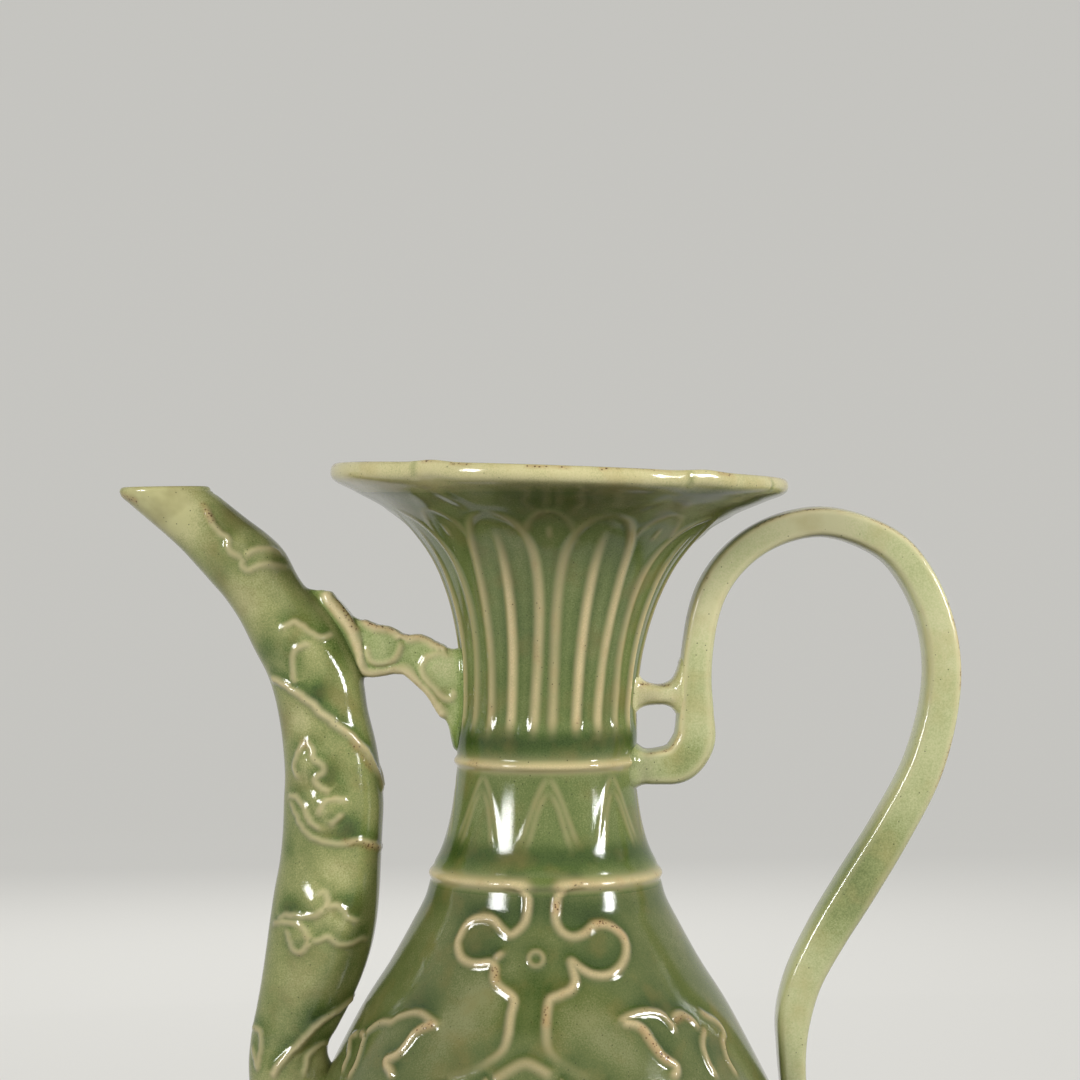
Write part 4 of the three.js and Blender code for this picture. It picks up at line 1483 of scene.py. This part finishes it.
    def build(self) -> None:
        """Turn the five rings of the neck from bottom to top."""
        relief = self.relief()
        for name, span in (("lower_neck_band", self.lower_band), ("upper_neck_band", self.upper_band)):
            band = self.ring(name.replace("neck_band", "fillet"), span, *self.band_mesh)
            carve(band, relief)
            hand_over(band, name, self.glaze)
        collar = self.ring("collar", self.collar, *self.collar_mesh)
        carve(collar, relief)
        hand_over(collar, "neck_collar", self.glaze)
        spacing, steps = self.trumpet_mesh
        outer = SKIN.slice_of(SKIN.outer, self.upper_band[1], SKIN.neck[-1][1], spacing)
        inner = SKIN.slice_of(SKIN.inner, self.upper_band[1], self.inner_top, self.inner_spacing)
        outline = np.vstack([outer, self.inner_flare, inner[::-1]])
        neck = spun_wall("trumpet", outline, steps, shape=self.lobes.apply)
        carve(neck, relief)
        hand_over(neck, "trumpet_neck", self.glaze)
        rim = spun_wall("lip", smooth_line(self.lip, self.lip_spacing), steps, shape=self.lobes.apply)
        carve(rim, self.relief(lip=True))
        hand_over(rim, "mouth_rim", self.rim_glaze)


# Spout, strut and handle


@dataclass
class CloudStrut:
    """The cloud scroll that holds the spout to the neck."""

    contours_px: Knots = (
        (297, 603, 343, 667), (303, 598, 349, 664), (313, 591.5, 357, 672), (324, 590.5, 364, 675.5),
        (332, 594.5, 369, 675), (342, 603, 375, 674), (351, 614, 381, 673), (359, 619, 386, 672),
        (371, 623, 391, 671.3), (387, 628, 397, 671), (399.5, 633, 405, 672), (406, 635, 410, 675),
        (412, 634.5, 415, 679), (422, 636, 425, 687.5), (435, 642.5, 433, 698), (447, 648, 440, 710.5),
        (456, 650, 447, 722), (464, 650, 453, 740), (472, 650, 462, 750),
    )
    half_depths: Sequence[float] = (
        1.2, 1.8, 2.4, 3.0, 3.6, 4.2, 4.4, 4.5, 4.5, 4.5, 4.5, 4.5, 4.5, 4.6, 4.7, 4.8, 5.0, 5.3, 5.6,
    )
    boxiness: float = 3.4
    spacing: float = 0.7
    count: int = 110
    # a thin light coat on a scroll that is nearly all edges
    glaze: Glaze = Glaze("celadon_on_strut", thin="#dcd8a6", plain="#b4bd80", deep="#7a8d49",
                         pooled="#4c5f2c", ridge="#e4d2a4")
    ridges: Sequence[Stroke] = (Stroke(2.9, 1.3), Stroke(2.2, 0.9))
    scroll: Stroke = Stroke(1.7, 0.5, pale=0.6)
    scorch: tuple[float, float] = (1.0, 0.8)
    pool_depth: float = 0.4
    flare: float = 2.5
    ridges_px: Sequence[Knots] = (
        ((324, 592), (332, 605), (342, 617), (351, 629), (357, 643), (361, 654), (361.5, 662), (365, 670),
         (371, 672), (382, 671), (394, 669), (405, 670), (415, 677), (425, 686), (433, 696), (440, 708),
         (447, 719)),
        ((359, 621), (376.5, 629), (389, 631), (401, 638), (408, 639), (421, 639), (435, 647), (448, 654)),
    )
    scorched_px: Sequence[Knots] = (
        ((336, 600), (350, 617), (356, 628)), ((362, 622), (376, 628), (390, 632)),
        ((404, 637), (420, 639), (436, 646)),
    )
    knobs_px: Knots = ((380, 650, 5.0, 0.8), (438, 667, 6.0, 1.0))
    scrolls_px: Sequence[Knots] = (
        ((368, 644), (367.6, 652), (372, 661), (383, 663), (394, 659.5), (400, 650), (401, 641)),
        ((450.5, 657), (440, 654), (428, 657), (422, 666), (425, 677), (434, 687.5), (444, 698), (452, 698),
         (454, 687.5)),
    )

    def shape(self) -> Object:
        """Wrap the strut, still plain.

        Returns:
            The plain strut.
        """
        depths = np.asarray(self.half_depths)[:, None]
        line = smooth_line(np.hstack([VIEW.contours_of(self.contours_px), depths]), self.spacing)
        loft = Loft(line[:, :2], line[:, 2:4], line[:, 4], rounded_section(self.boxiness))
        return loft.bar("strut", self.count)

    def finish(self, strut: Object, spout: KDTree) -> None:
        """Raise the scrolls on the strut.

        Args:
            strut: the plain strut.
            spout: points of the spout that it is luted to.
        """
        relief = Relief(pool_depth=self.pool_depth)
        for pixels, stroke in zip(self.ridges_px, self.ridges):
            relief.add_line(seen_on(strut, pixels), stroke)
        for pixels in self.scrolls_px:
            relief.add_line(seen_on(strut, pixels), self.scroll)
        for pixels in self.scorched_px:
            relief.add_scorch(seen_on(strut, pixels), *self.scorch)
        for *place, radius, height in self.knobs_px:
            relief.mounds.append((spot_on(strut, *place), radius, height))
        carve(strut, relief, self.flare, host=spout)
        hand_over(strut, "cloud_strut", self.glaze)


@dataclass
class Spout:
    """The long spout, from a two-piece mould and luted along the middle plane."""

    contours_px: Knots = (
        (119.8, 491.8, 210.5, 490.6), (121.5, 496.5, 212, 491.5), (130.4, 504.4, 213.5, 493),
        (148.3, 519.7, 216, 494.6), (164.8, 533.8, 219.5, 497), (181.4, 549, 229, 504.5),
        (198, 567, 248, 519.5), (212, 582.8, 266.5, 533.5), (224.8, 597.5, 284, 551), (240, 620, 301, 581),
        (255, 650, 329, 613), (267, 673, 345, 638), (275, 697, 362, 676), (280.5, 725, 368, 710),
        (283.5, 750, 376, 743), (285, 775, 380.7, 772), (284, 800, 383.5, 800), (283, 830, 382.5, 830),
        (280, 860, 381, 861), (274.5, 890, 379.5, 893), (270, 920, 376.5, 922), (266, 950, 371, 949),
        (261.5, 980, 362, 976), (257, 1005, 350, 1003), (252, 1030, 338, 1026), (249, 1058, 328, 1046),
    )
    hidden: Knots = (
        (-84.3, 126, -61.6, 128), (-84.2, 118, -63.5, 117), (-83.2, 108, -68, 106), (-81, 97, -73, 95),
        (-78.5, 88, -76, 86),
    )
    fullness: float = 0.94
    boxiness: float = 2.1
    wall: float = 2.6
    lip_turn: int = 20
    mouth_run: float = 9.0
    spacing: float = 0.62
    # the sections are spread by the length of both contours together, which is the longer measure
    knot_spacing: float = 0.837
    around: int = 64
    bore_end_z: float = 118.0
    bore_skip: int = 5
    # a patchy coat, thin on the raised leaves and deep beside them
    glaze: Glaze = Glaze("celadon_on_spout", thin="#c2be88", plain="#9a9d64", deep="#62743a",
                         pooled="#384e22", ridge="#d8c99b")
    leaf: Stroke = Stroke(1.6, 0.6, pale=0.7, strengths=(0.7, 1.0, 0.85, 1.0, 0.7))
    vine: Stroke = Stroke(2.0, 0.85, pale=0.85)
    scorch: tuple[float, float] = (1.1, 0.9)
    flare: float = 3.0
    lines_px: Sequence[Knots] = (
        ((205, 506), (208, 514), (214, 525.5), (222, 534), (229, 539.5), (228, 545), (231, 552), (238, 556),
         (243, 559), (242, 566), (247.5, 570), (254.5, 568), (261.5, 565.5), (275.6, 566), (288, 567.6)),
        ((243, 559), (249, 553.6), (256, 551), (264, 550), (275.6, 552), (282.6, 556)),
        ((282, 632), (286, 626), (294, 622), (302, 626), (311, 633), (321, 638), (334, 633)),
        ((294, 685), (293, 669), (293, 655), (297, 648), (305, 645), (312.5, 648)),
        ((305, 739), (300, 751), (295.5, 769), (301, 780)),
        ((305, 739), (312.5, 750), (315, 759), (323, 766), (323, 773), (316, 778), (318, 785), (327, 791),
         (329.5, 796)),
        ((347, 804), (339, 799), (327, 800.5), (320.5, 810), (321, 817.5)),
        ((345.5, 812), (336, 819), (330, 828)),
        ((288, 797), (296, 797), (305, 807), (311, 821), (321, 832)),
        ((290, 800), (298, 816), (305, 830), (316, 839), (330, 842.5), (345, 844), (355, 841), (366, 842),
         (375, 845), (383, 850)),
        ((317, 894), (324, 892), (328, 901), (324, 909), (315, 915), (301, 916), (287, 915), (277, 919)),
        ((324, 909), (335, 905), (342, 909), (346, 916), (352, 919), (360, 923)),
        ((273, 923), (283, 922), (293, 922), (301, 925), (307, 933), (309, 941), (307, 947), (301, 952),
         (294, 950), (291, 941), (288.5, 934), (284, 929)),
        ((309, 941), (315, 941), (322, 939), (328, 936), (332, 939), (336, 944), (343, 945), (352, 943),
         (360, 939), (368.5, 939)),
        ((328, 1042.5), (321, 1044), (312, 1051), (307, 1059), (305, 1070), (305, 1079)),
        ((253, 1026), (260, 1031), (262, 1042.5), (260, 1056.5), (258, 1068), (255, 1056.5), (252, 1045)),
    )
    mounds_px: Knots = (
        (240, 545, 3.6, 0.6), (262, 559, 4.0, 0.7), (268, 545, 4.0, 0.5), (300, 637, 4.0, 0.8),
        (318, 655, 4.6, 0.5), (308, 765, 4.2, 1.2), (318, 800, 4.0, 0.8), (336, 811, 3.6, 0.9),
        (306, 818, 3.6, 0.6), (318, 904, 4.0, 1.2), (340, 925, 4.6, 0.8), (300, 936, 3.6, 1.0),
        (318, 1062, 3.6, 0.6),
    )
    # pools and thin places of the glaze; the pale place at (300, 718) is painted light on a shaded stretch
    # of the spout
    dark_and_pale_spots_px: Knots = (
        (335, 655, 4.6, 0.5), (322, 690, 4.0, 0.7), (268, 650, 4.0, 0.4), (347, 826, 3.6, 0.8),
        (290, 905, 4.0, 0.5), (352, 905, 4.0, 0.5), (288, 850, 3.0, 0.3), (332, 775, 3.6, 0.6),
        (335, 873, 6.0, -0.3), (332, 700, 4.0, -0.2), (222, 570, 4.0, 0.3), (245, 600, 8.0, -0.4),
        (150, 506, 10.0, -1.1), (190, 520, 9.0, -0.4), (300, 990, 7.0, -0.3), (300, 718, 5.0, -0.6),
        (315, 1010, 5.0, 0.5),
    )
    scorched_px: Sequence[Knots] = (
        ((203, 506), (208, 514), (211, 520)), ((123, 496), (134, 500)), ((303, 741), (306, 744)),
        ((352, 742), (362, 755), (371, 768)), ((346, 842), (378, 847)),
    )
    vines_px: Sequence[Knots] = (
        ((271, 677), (286, 685), (296, 692), (311, 703), (321, 713), (334, 723), (346, 732), (357, 742),
         (366, 751), (373, 764), (379, 778), (382, 791)),
        ((353, 996), (346, 1003), (338, 1010), (324, 1020), (312, 1030), (301, 1042.5), (287, 1056.5),
         (277, 1069), (272, 1079)),
    )

    def loft(self) -> Loft:
        """Draw the contours and depths of the spout from its mouth to its foot.

        Returns:
            The whole spout.
        """
        knots = np.vstack([VIEW.contours_of(self.contours_px), self.hidden])
        line = smooth_line(knots, self.knot_spacing)
        way = unit_rows(np.gradient((line[:, :2] + line[:, 2:]) / 2, axis=0))
        reach = line[:, :2] - line[:, 2:]
        width = np.abs(reach[:, 0] * way[:, 1] - reach[:, 1] * way[:, 0])
        depths = width / 2 * self.fullness
        settled = int(self.mouth_run / self.spacing)
        depths[:settled] = depths[settled]
        return Loft(line[:, :2], line[:, 2:], depths, rounded_section(self.boxiness))

    def half(self, name: str, loft: Loft, part: slice) -> Object:
        """Wrap one moulded half, with its share of the bore.

        Args:
            name: the half's name.
            loft: the whole spout.
            part: the stretch of the section that the half covers.

        Returns:
            The half.
        """
        rows = [loft.row(index, self.around, part) for index in range(len(loft.near) - 1, -1, -1)]
        for turn in range(self.lip_turn, 180, self.lip_turn):
            shrink = self.wall / 2 * (1 - math.cos(math.radians(turn)))
            lift = self.wall / 2 * math.sin(math.radians(turn))
            rows.append(loft.row(0, self.around, part, shrink, lift))
        for index in range(0, len(loft.near), self.bore_skip):
            if loft.near[index][1] > self.bore_end_z:
                rows.append(loft.row(index, self.around, part, self.wall))
        return wrapped(name, rows, closed_around=False)

    def build(self, strut: CloudStrut) -> None:
        """Wrap both halves and the strut, and raise the vine on them.

        Args:
            strut: the strut that is luted to the spout.
        """
        bridge = strut.shape()
        loft = self.loft()
        middle = SECTION_STEPS // 2
        front = self.half("spout_front", loft, slice(0, middle + 1))
        back = self.half("spout_back", loft, slice(middle, SECTION_STEPS + 1))
        relief = Relief()
        for pixels in self.lines_px:
            relief.add_line(seen_on(front, pixels), self.leaf)
        for pixels in self.vines_px:
            relief.add_line(seen_on(front, pixels), self.vine)
        for *place, radius, height in self.mounds_px:
            relief.mounds.append((spot_on(front, *place), radius, height))
        # pools and thin places, with one spot of painted light
        for *place, radius, strength in self.dark_and_pale_spots_px:
            relief.add_spot(spot_on(front, *place), radius, strength)
        for pixels in self.scorched_px:
            relief.add_scorch(seen_on(front, pixels), *self.scorch)
        host = tree_of(points_of(bridge) / MM)
        joined = np.vstack([points_of(front), points_of(back)]) / MM
        for piece, node in ((front, "spout_right_half"), (back, "spout_left_half")):
            carve(piece, relief, self.flare, host=host)
            hand_over(piece, node, self.glaze)
        strut.finish(bridge, tree_of(joined))


@dataclass
class Handle:
    """The looping strap handle and the short bar that ties its root to the neck."""

    knots: Knots = (
        (20.0, 217.9, 10.4), (23.6, 217.8, 10.0), (31.1, 217.6, 10.4), (37.9, 219.0, 12.0),
        (42.0, 224.6, 12.2), (42.5, 233, 10.75), (42.5, 242, 9.5), (43.2, 251, 9), (44.9, 261, 9),
        (47.4, 268, 9.1), (51.9, 274.8, 9.1), (59, 281.1, 9), (68, 285.4, 8.9), (78.3, 287.1, 8.9),
        (88.5, 285, 9.25), (98.9, 279.5, 9.9), (105.8, 270.9, 10.25), (110.8, 259.2, 10.4),
        (112.8, 246.5, 10.75), (111.8, 233.6, 11), (107.1, 216.7, 11.6), (98.3, 199.7, 12.1),
        (87.9, 182.7, 12.5), (80, 169.9, 11.9), (73.5, 157.3, 10.9), (70.6, 147, 10.25),
        (70, 137.5, 8.5), (70.4, 128.1, 7.6), (71.7, 118, 7.25), (73.8, 107, 6.25), (76.1, 96.9, 5),
        (77.5, 90, 4.1),
    )
    half_depth: float = 7.75
    tongue: float = 7.5
    tongue_share: float = 0.85
    front_half: Knots = (
        (1, 0), (0.95, 0.42), (0.85, 0.77), (0.77, 0.89), (0.64, 0.95), (0.48, 0.985), (0.28, 1.0),
        (-0.42, 1.0), (-0.68, 0.97), (-0.85, 0.87), (-0.95, 0.62), (-1, 0),
    )
    section_spacing: float = 0.02
    spacing: float = 0.75
    count: int = 76
    bar_pairs: Knots = (
        (20, 250.0, 229.5, 7.4), (24.6, 247.0, 231.6, 7.0), (26.2, 244.0, 233.4, 6.6),
        (28.3, 241.9, 234.6, 6.3), (31.5, 241.0, 235, 6.2), (34, 241.3, 234.9, 6.2),
        (36, 242.6, 234.0, 6.4), (37.6, 245.4, 232.3, 6.8), (39, 249.0, 230.5, 7.0),
        (42, 252.0, 229.5, 7.0),
    )
    bar_spacing: float = 0.6
    bar_count: int = 56
    bar_boxiness: float = 2.8
    # a thin even coat on the plain strap
    glaze: Glaze = Glaze("celadon_on_handle", thin="#d0cc9f", plain="#bcbf8c", deep="#929b63",
                         pooled="#5d6b3a", ridge="#e2d8ab", rust="#b3a56c")
    # the thinnest coat of all, nearly buff, and paler still as painted light against the neck's shade on
    # the bar
    bar_glaze_and_painted_light: Glaze = Glaze("celadon_on_bar_with_painted_light", thin="#ece5bd", plain="#e2dcb0", deep="#b9bd84",
                             rust="#cdb880", ridge="#ece2b8")
    edge: Stroke = Stroke(2.0, 0.0, 8.0, strengths=(1.0, 1.0, 1.0, 0.6, 0.4, 0.3))
    # the place of each pale edge across the strap, its height and how pale it is
    edges: Knots = ((0.8, 0.12, 0.9), (-0.72, 0.0, 0.45))
    edges_depth: float = 0.94
    # how many points of the strap's root the pale edges leave out
    edges_from: int = 6
    scorched_edge: tuple[float, float] = (0.84, 0.84)
    scorch: tuple[float, float] = (0.7, 1.0)
    bar_scorch: tuple[float, float] = (0.9, 0.9)
    pool_depth: float = 0.12
    flare: float = 3.5
    # flare and swell at the neck, then flare at the strap and the deeper glaze in both
    bar_fillets: tuple[float, float, float, float] = (1.5, 0.2, 2.2, 0.2)
    scorched_shares: Knots = (
        (0.03, 0.085), (0.27, 0.33), (0.36, 0.41), (0.45, 0.52), (0.56, 0.6),
    )
    # painted shade on the strap's lower side and at its root, and painted light on its top where the
    # mouth's shadow falls, given as spots of glaze depth: place, radius in millimetres and strength
    dark_and_pale_spots_px: Knots = (
        (680, 764, 6.0, 0.7), (696, 745, 5.0, 0.3), (864, 856, 16.0, 0.7), (835, 900, 12.0, 0.4),
        (678, 698, 4.0, 0.7), (820, 528, 16.0, -0.6), (708, 605, 12.0, -0.5), (950, 640, 10.0, -0.2),
        (806, 985, 12.0, -0.1),
    )
    bar_scorch_px: Knots = ((640, 685), (655, 684), (668, 686))

    def build(self) -> None:
        """Wrap the strap and its bar."""
        strap = self.make_strap()
        pairs = smooth_line(self.bar_pairs, self.bar_spacing)
        section = rounded_section(self.bar_boxiness)
        bar = Loft(pairs[:, :2], pairs[:, [0, 2]], pairs[:, 3], section).bar("bar", self.bar_count)
        relief = Relief()
        relief.add_scorch(seen_on(bar, self.bar_scorch_px), *self.bar_scorch)
        flare, swell, host_flare, gathered = self.bar_fillets
        carve(bar, relief, flare, swell, tree_of(points_of(strap) / MM), host_flare, gathered)
        hand_over(bar, "handle_bar", self.bar_glaze_and_painted_light)

    def make_strap(self) -> Object:
        """Wrap the strap, with its pale edges, burnt stretches, and spots of painted shade and painted
        light.

        Returns:
            The finished strap.
        """
        half = smooth_line(self.front_half, self.section_spacing)
        unit = np.vstack([half, half[-2::-1] * (1, -1)])
        line = smooth_line(self.knots, self.spacing)
        middle = line[:, :2]
        side = left_of(middle) * line[:, 2:] / 2
        left = np.clip(np.arange(len(line))[::-1] * self.spacing / self.tongue, 0, 1)
        depths = self.half_depth * np.sqrt(1 - self.tongue_share * (1 - left) ** 2)
        strap = Loft(middle + side, middle - side, depths, unit).bar("strap", self.count)
        relief = Relief(pool_depth=self.pool_depth)
        for across, height, pale in self.edges:
            edge = self.along_front(middle + side * across, self.edges_depth)
            relief.add_line(edge[self.edges_from:], replace(self.edge, height=height, pale=pale))
        across, deep = self.scorched_edge
        edge = self.along_front(middle + side * across, deep)
        for start, stop in self.scorched_shares:
            relief.add_scorch(edge[int(start * len(edge)):int(stop * len(edge))], *self.scorch)
        # spots of painted shade and painted light
        for *place, radius, strength in self.dark_and_pale_spots_px:
            relief.add_spot(spot_on(strap, *place), radius, strength)
        carve(strap, relief, self.flare)
        hand_over(strap, "handle_strap", self.glaze)
        return strap

    def along_front(self, line: np.ndarray, deep: float) -> np.ndarray:
        """Bring a line of the middle plane forward by a share of the strap's half depth."""
        return np.stack([line[:, 0], np.full(len(line), -deep * self.half_depth), line[:, 1]], axis=1)


# Studio


@dataclass(frozen=True)
class StripLight:
    """A soft box that faces the vessel, placed in degrees from its front and from the floor, in metres."""

    name: str
    azimuth: float
    elevation: float
    width: float
    height: float
    radiance: float
    distance: float = 0.9
    in_gloss: bool = True
    target: tuple[float, float, float] = (0.0, 0.0, 0.22)

    def build(self) -> None:
        """Hang the light."""
        data = bpy.data.lights.new(self.name, "AREA")
        data.shape = "RECTANGLE"
        data.size = self.width
        data.size_y = self.height
        data.energy = self.radiance * math.pi * self.width * self.height
        lamp = bpy.data.objects.new(self.name, data)
        bpy.context.collection.objects.link(lamp)
        turn, rise = math.radians(self.azimuth), math.radians(self.elevation)
        way = Vector((math.sin(turn) * math.cos(rise), -math.cos(turn) * math.cos(rise), math.sin(rise)))
        lamp.location = Vector(self.target) + way * self.distance
        lamp.rotation_euler = way.to_track_quat("Z", "Y").to_euler()
        lamp.visible_camera = False
        lamp.visible_glossy = self.in_gloss


@dataclass
class Studio:
    """Pale floor that sweeps up into an all-round backdrop, soft boxes and the photograph's camera."""

    radius: float = 1.7
    cove: float = 0.5
    cove_steps: int = 12
    around: int = 128
    weld: float = 1e-5
    top: float = 2.6
    paper: PlainPaint = PlainPaint("pale_backdrop_card", "#eeede8")
    sky: float = 0.56
    ground: float = 0.16
    dusk: tuple[float, float] = (-0.4, 0.3)
    lights: Sequence[StripLight] = (
        StripLight("left_softbox", -48.0, 17.0, 0.22, 0.27, 29.0),
        StripLight("right_strip", 65.0, 17.0, 0.12, 0.27, 56.0),
        StripLight("front_fill", 16.0, 24.0, 1.0, 0.8, 2.2, 1.3, False),
        StripLight("back_fill", 188.0, 24.0, 1.0, 0.8, 3.6, 1.3, False),
    )

    def build(self) -> None:
        """Set the stage."""
        self.make_sweep()
        for light in self.lights:
            light.build()
        self.make_world()
        bpy.context.scene.view_settings.view_transform = "Standard"
        VIEW.make_camera()

    def make_sweep(self) -> None:
        """Turn the floor, its cove and the backdrop, which light and shadow pass by."""
        bm = bmesh.new()
        turns = np.radians(np.linspace(0, 90, self.cove_steps + 1))
        outline = [(0.0, 0.0)]
        for turn in turns:
            outline.append((self.radius + self.cove * math.sin(turn), self.cove * (1 - math.cos(turn))))
        outline.append((self.radius + self.cove, self.top))
        verts = [bm.verts.new((0, -radius, height)) for radius, height in outline]
        edges = [bm.edges.new(pair) for pair in zip(verts, verts[1:])]
        bmesh.ops.spin(bm, geom=verts + edges, cent=(0, 0, 0), axis=(0, 0, 1), angle=math.tau,
                       steps=self.around, use_merge=True)
        bmesh.ops.remove_doubles(bm, verts=bm.verts, dist=self.weld)
        bmesh.ops.recalc_face_normals(bm, faces=bm.faces)
        for face in bm.faces:
            face.smooth = True
        mesh = bpy.data.meshes.new("sweep")
        bm.to_mesh(mesh)
        bm.free()
        sweep = bpy.data.objects.new("sweep", mesh)
        bpy.context.collection.objects.link(sweep)
        mesh.materials.append(self.paper.make())
        sweep.visible_diffuse = False
        sweep.visible_shadow = False

    def make_world(self) -> None:
        """Light everything softly, less from below than from above."""
        start, stop = self.dusk
        world = bpy.data.worlds.new("soft_fill")
        bpy.context.scene.world = world
        world.use_nodes = True
        tree = world.node_tree
        rise = add_node(tree, "ShaderNodeTexCoord", {}, "Generated")
        rise = add_node(tree, "ShaderNodeSeparateXYZ", {0: rise}, 2)
        level = add_node(tree, "ShaderNodeMapRange", {
            "interpolation_type": "SMOOTHSTEP", 0: rise, 1: start, 2: stop, 3: self.ground, 4: self.sky})
        tree.links.new(level, tree.nodes["Background"].inputs["Strength"])


def main() -> None:
    """Build the vessel from foot to lip, then its spout, strut and handle, and set the stage."""
    logging.basicConfig(level=logging.INFO, format="%(message)s")
    FootRing().build()
    Belly().build()
    Neck().build()
    Spout().build(CloudStrut())
    Handle().build()
    Studio().build()


if __name__ == "__main__":
    main()
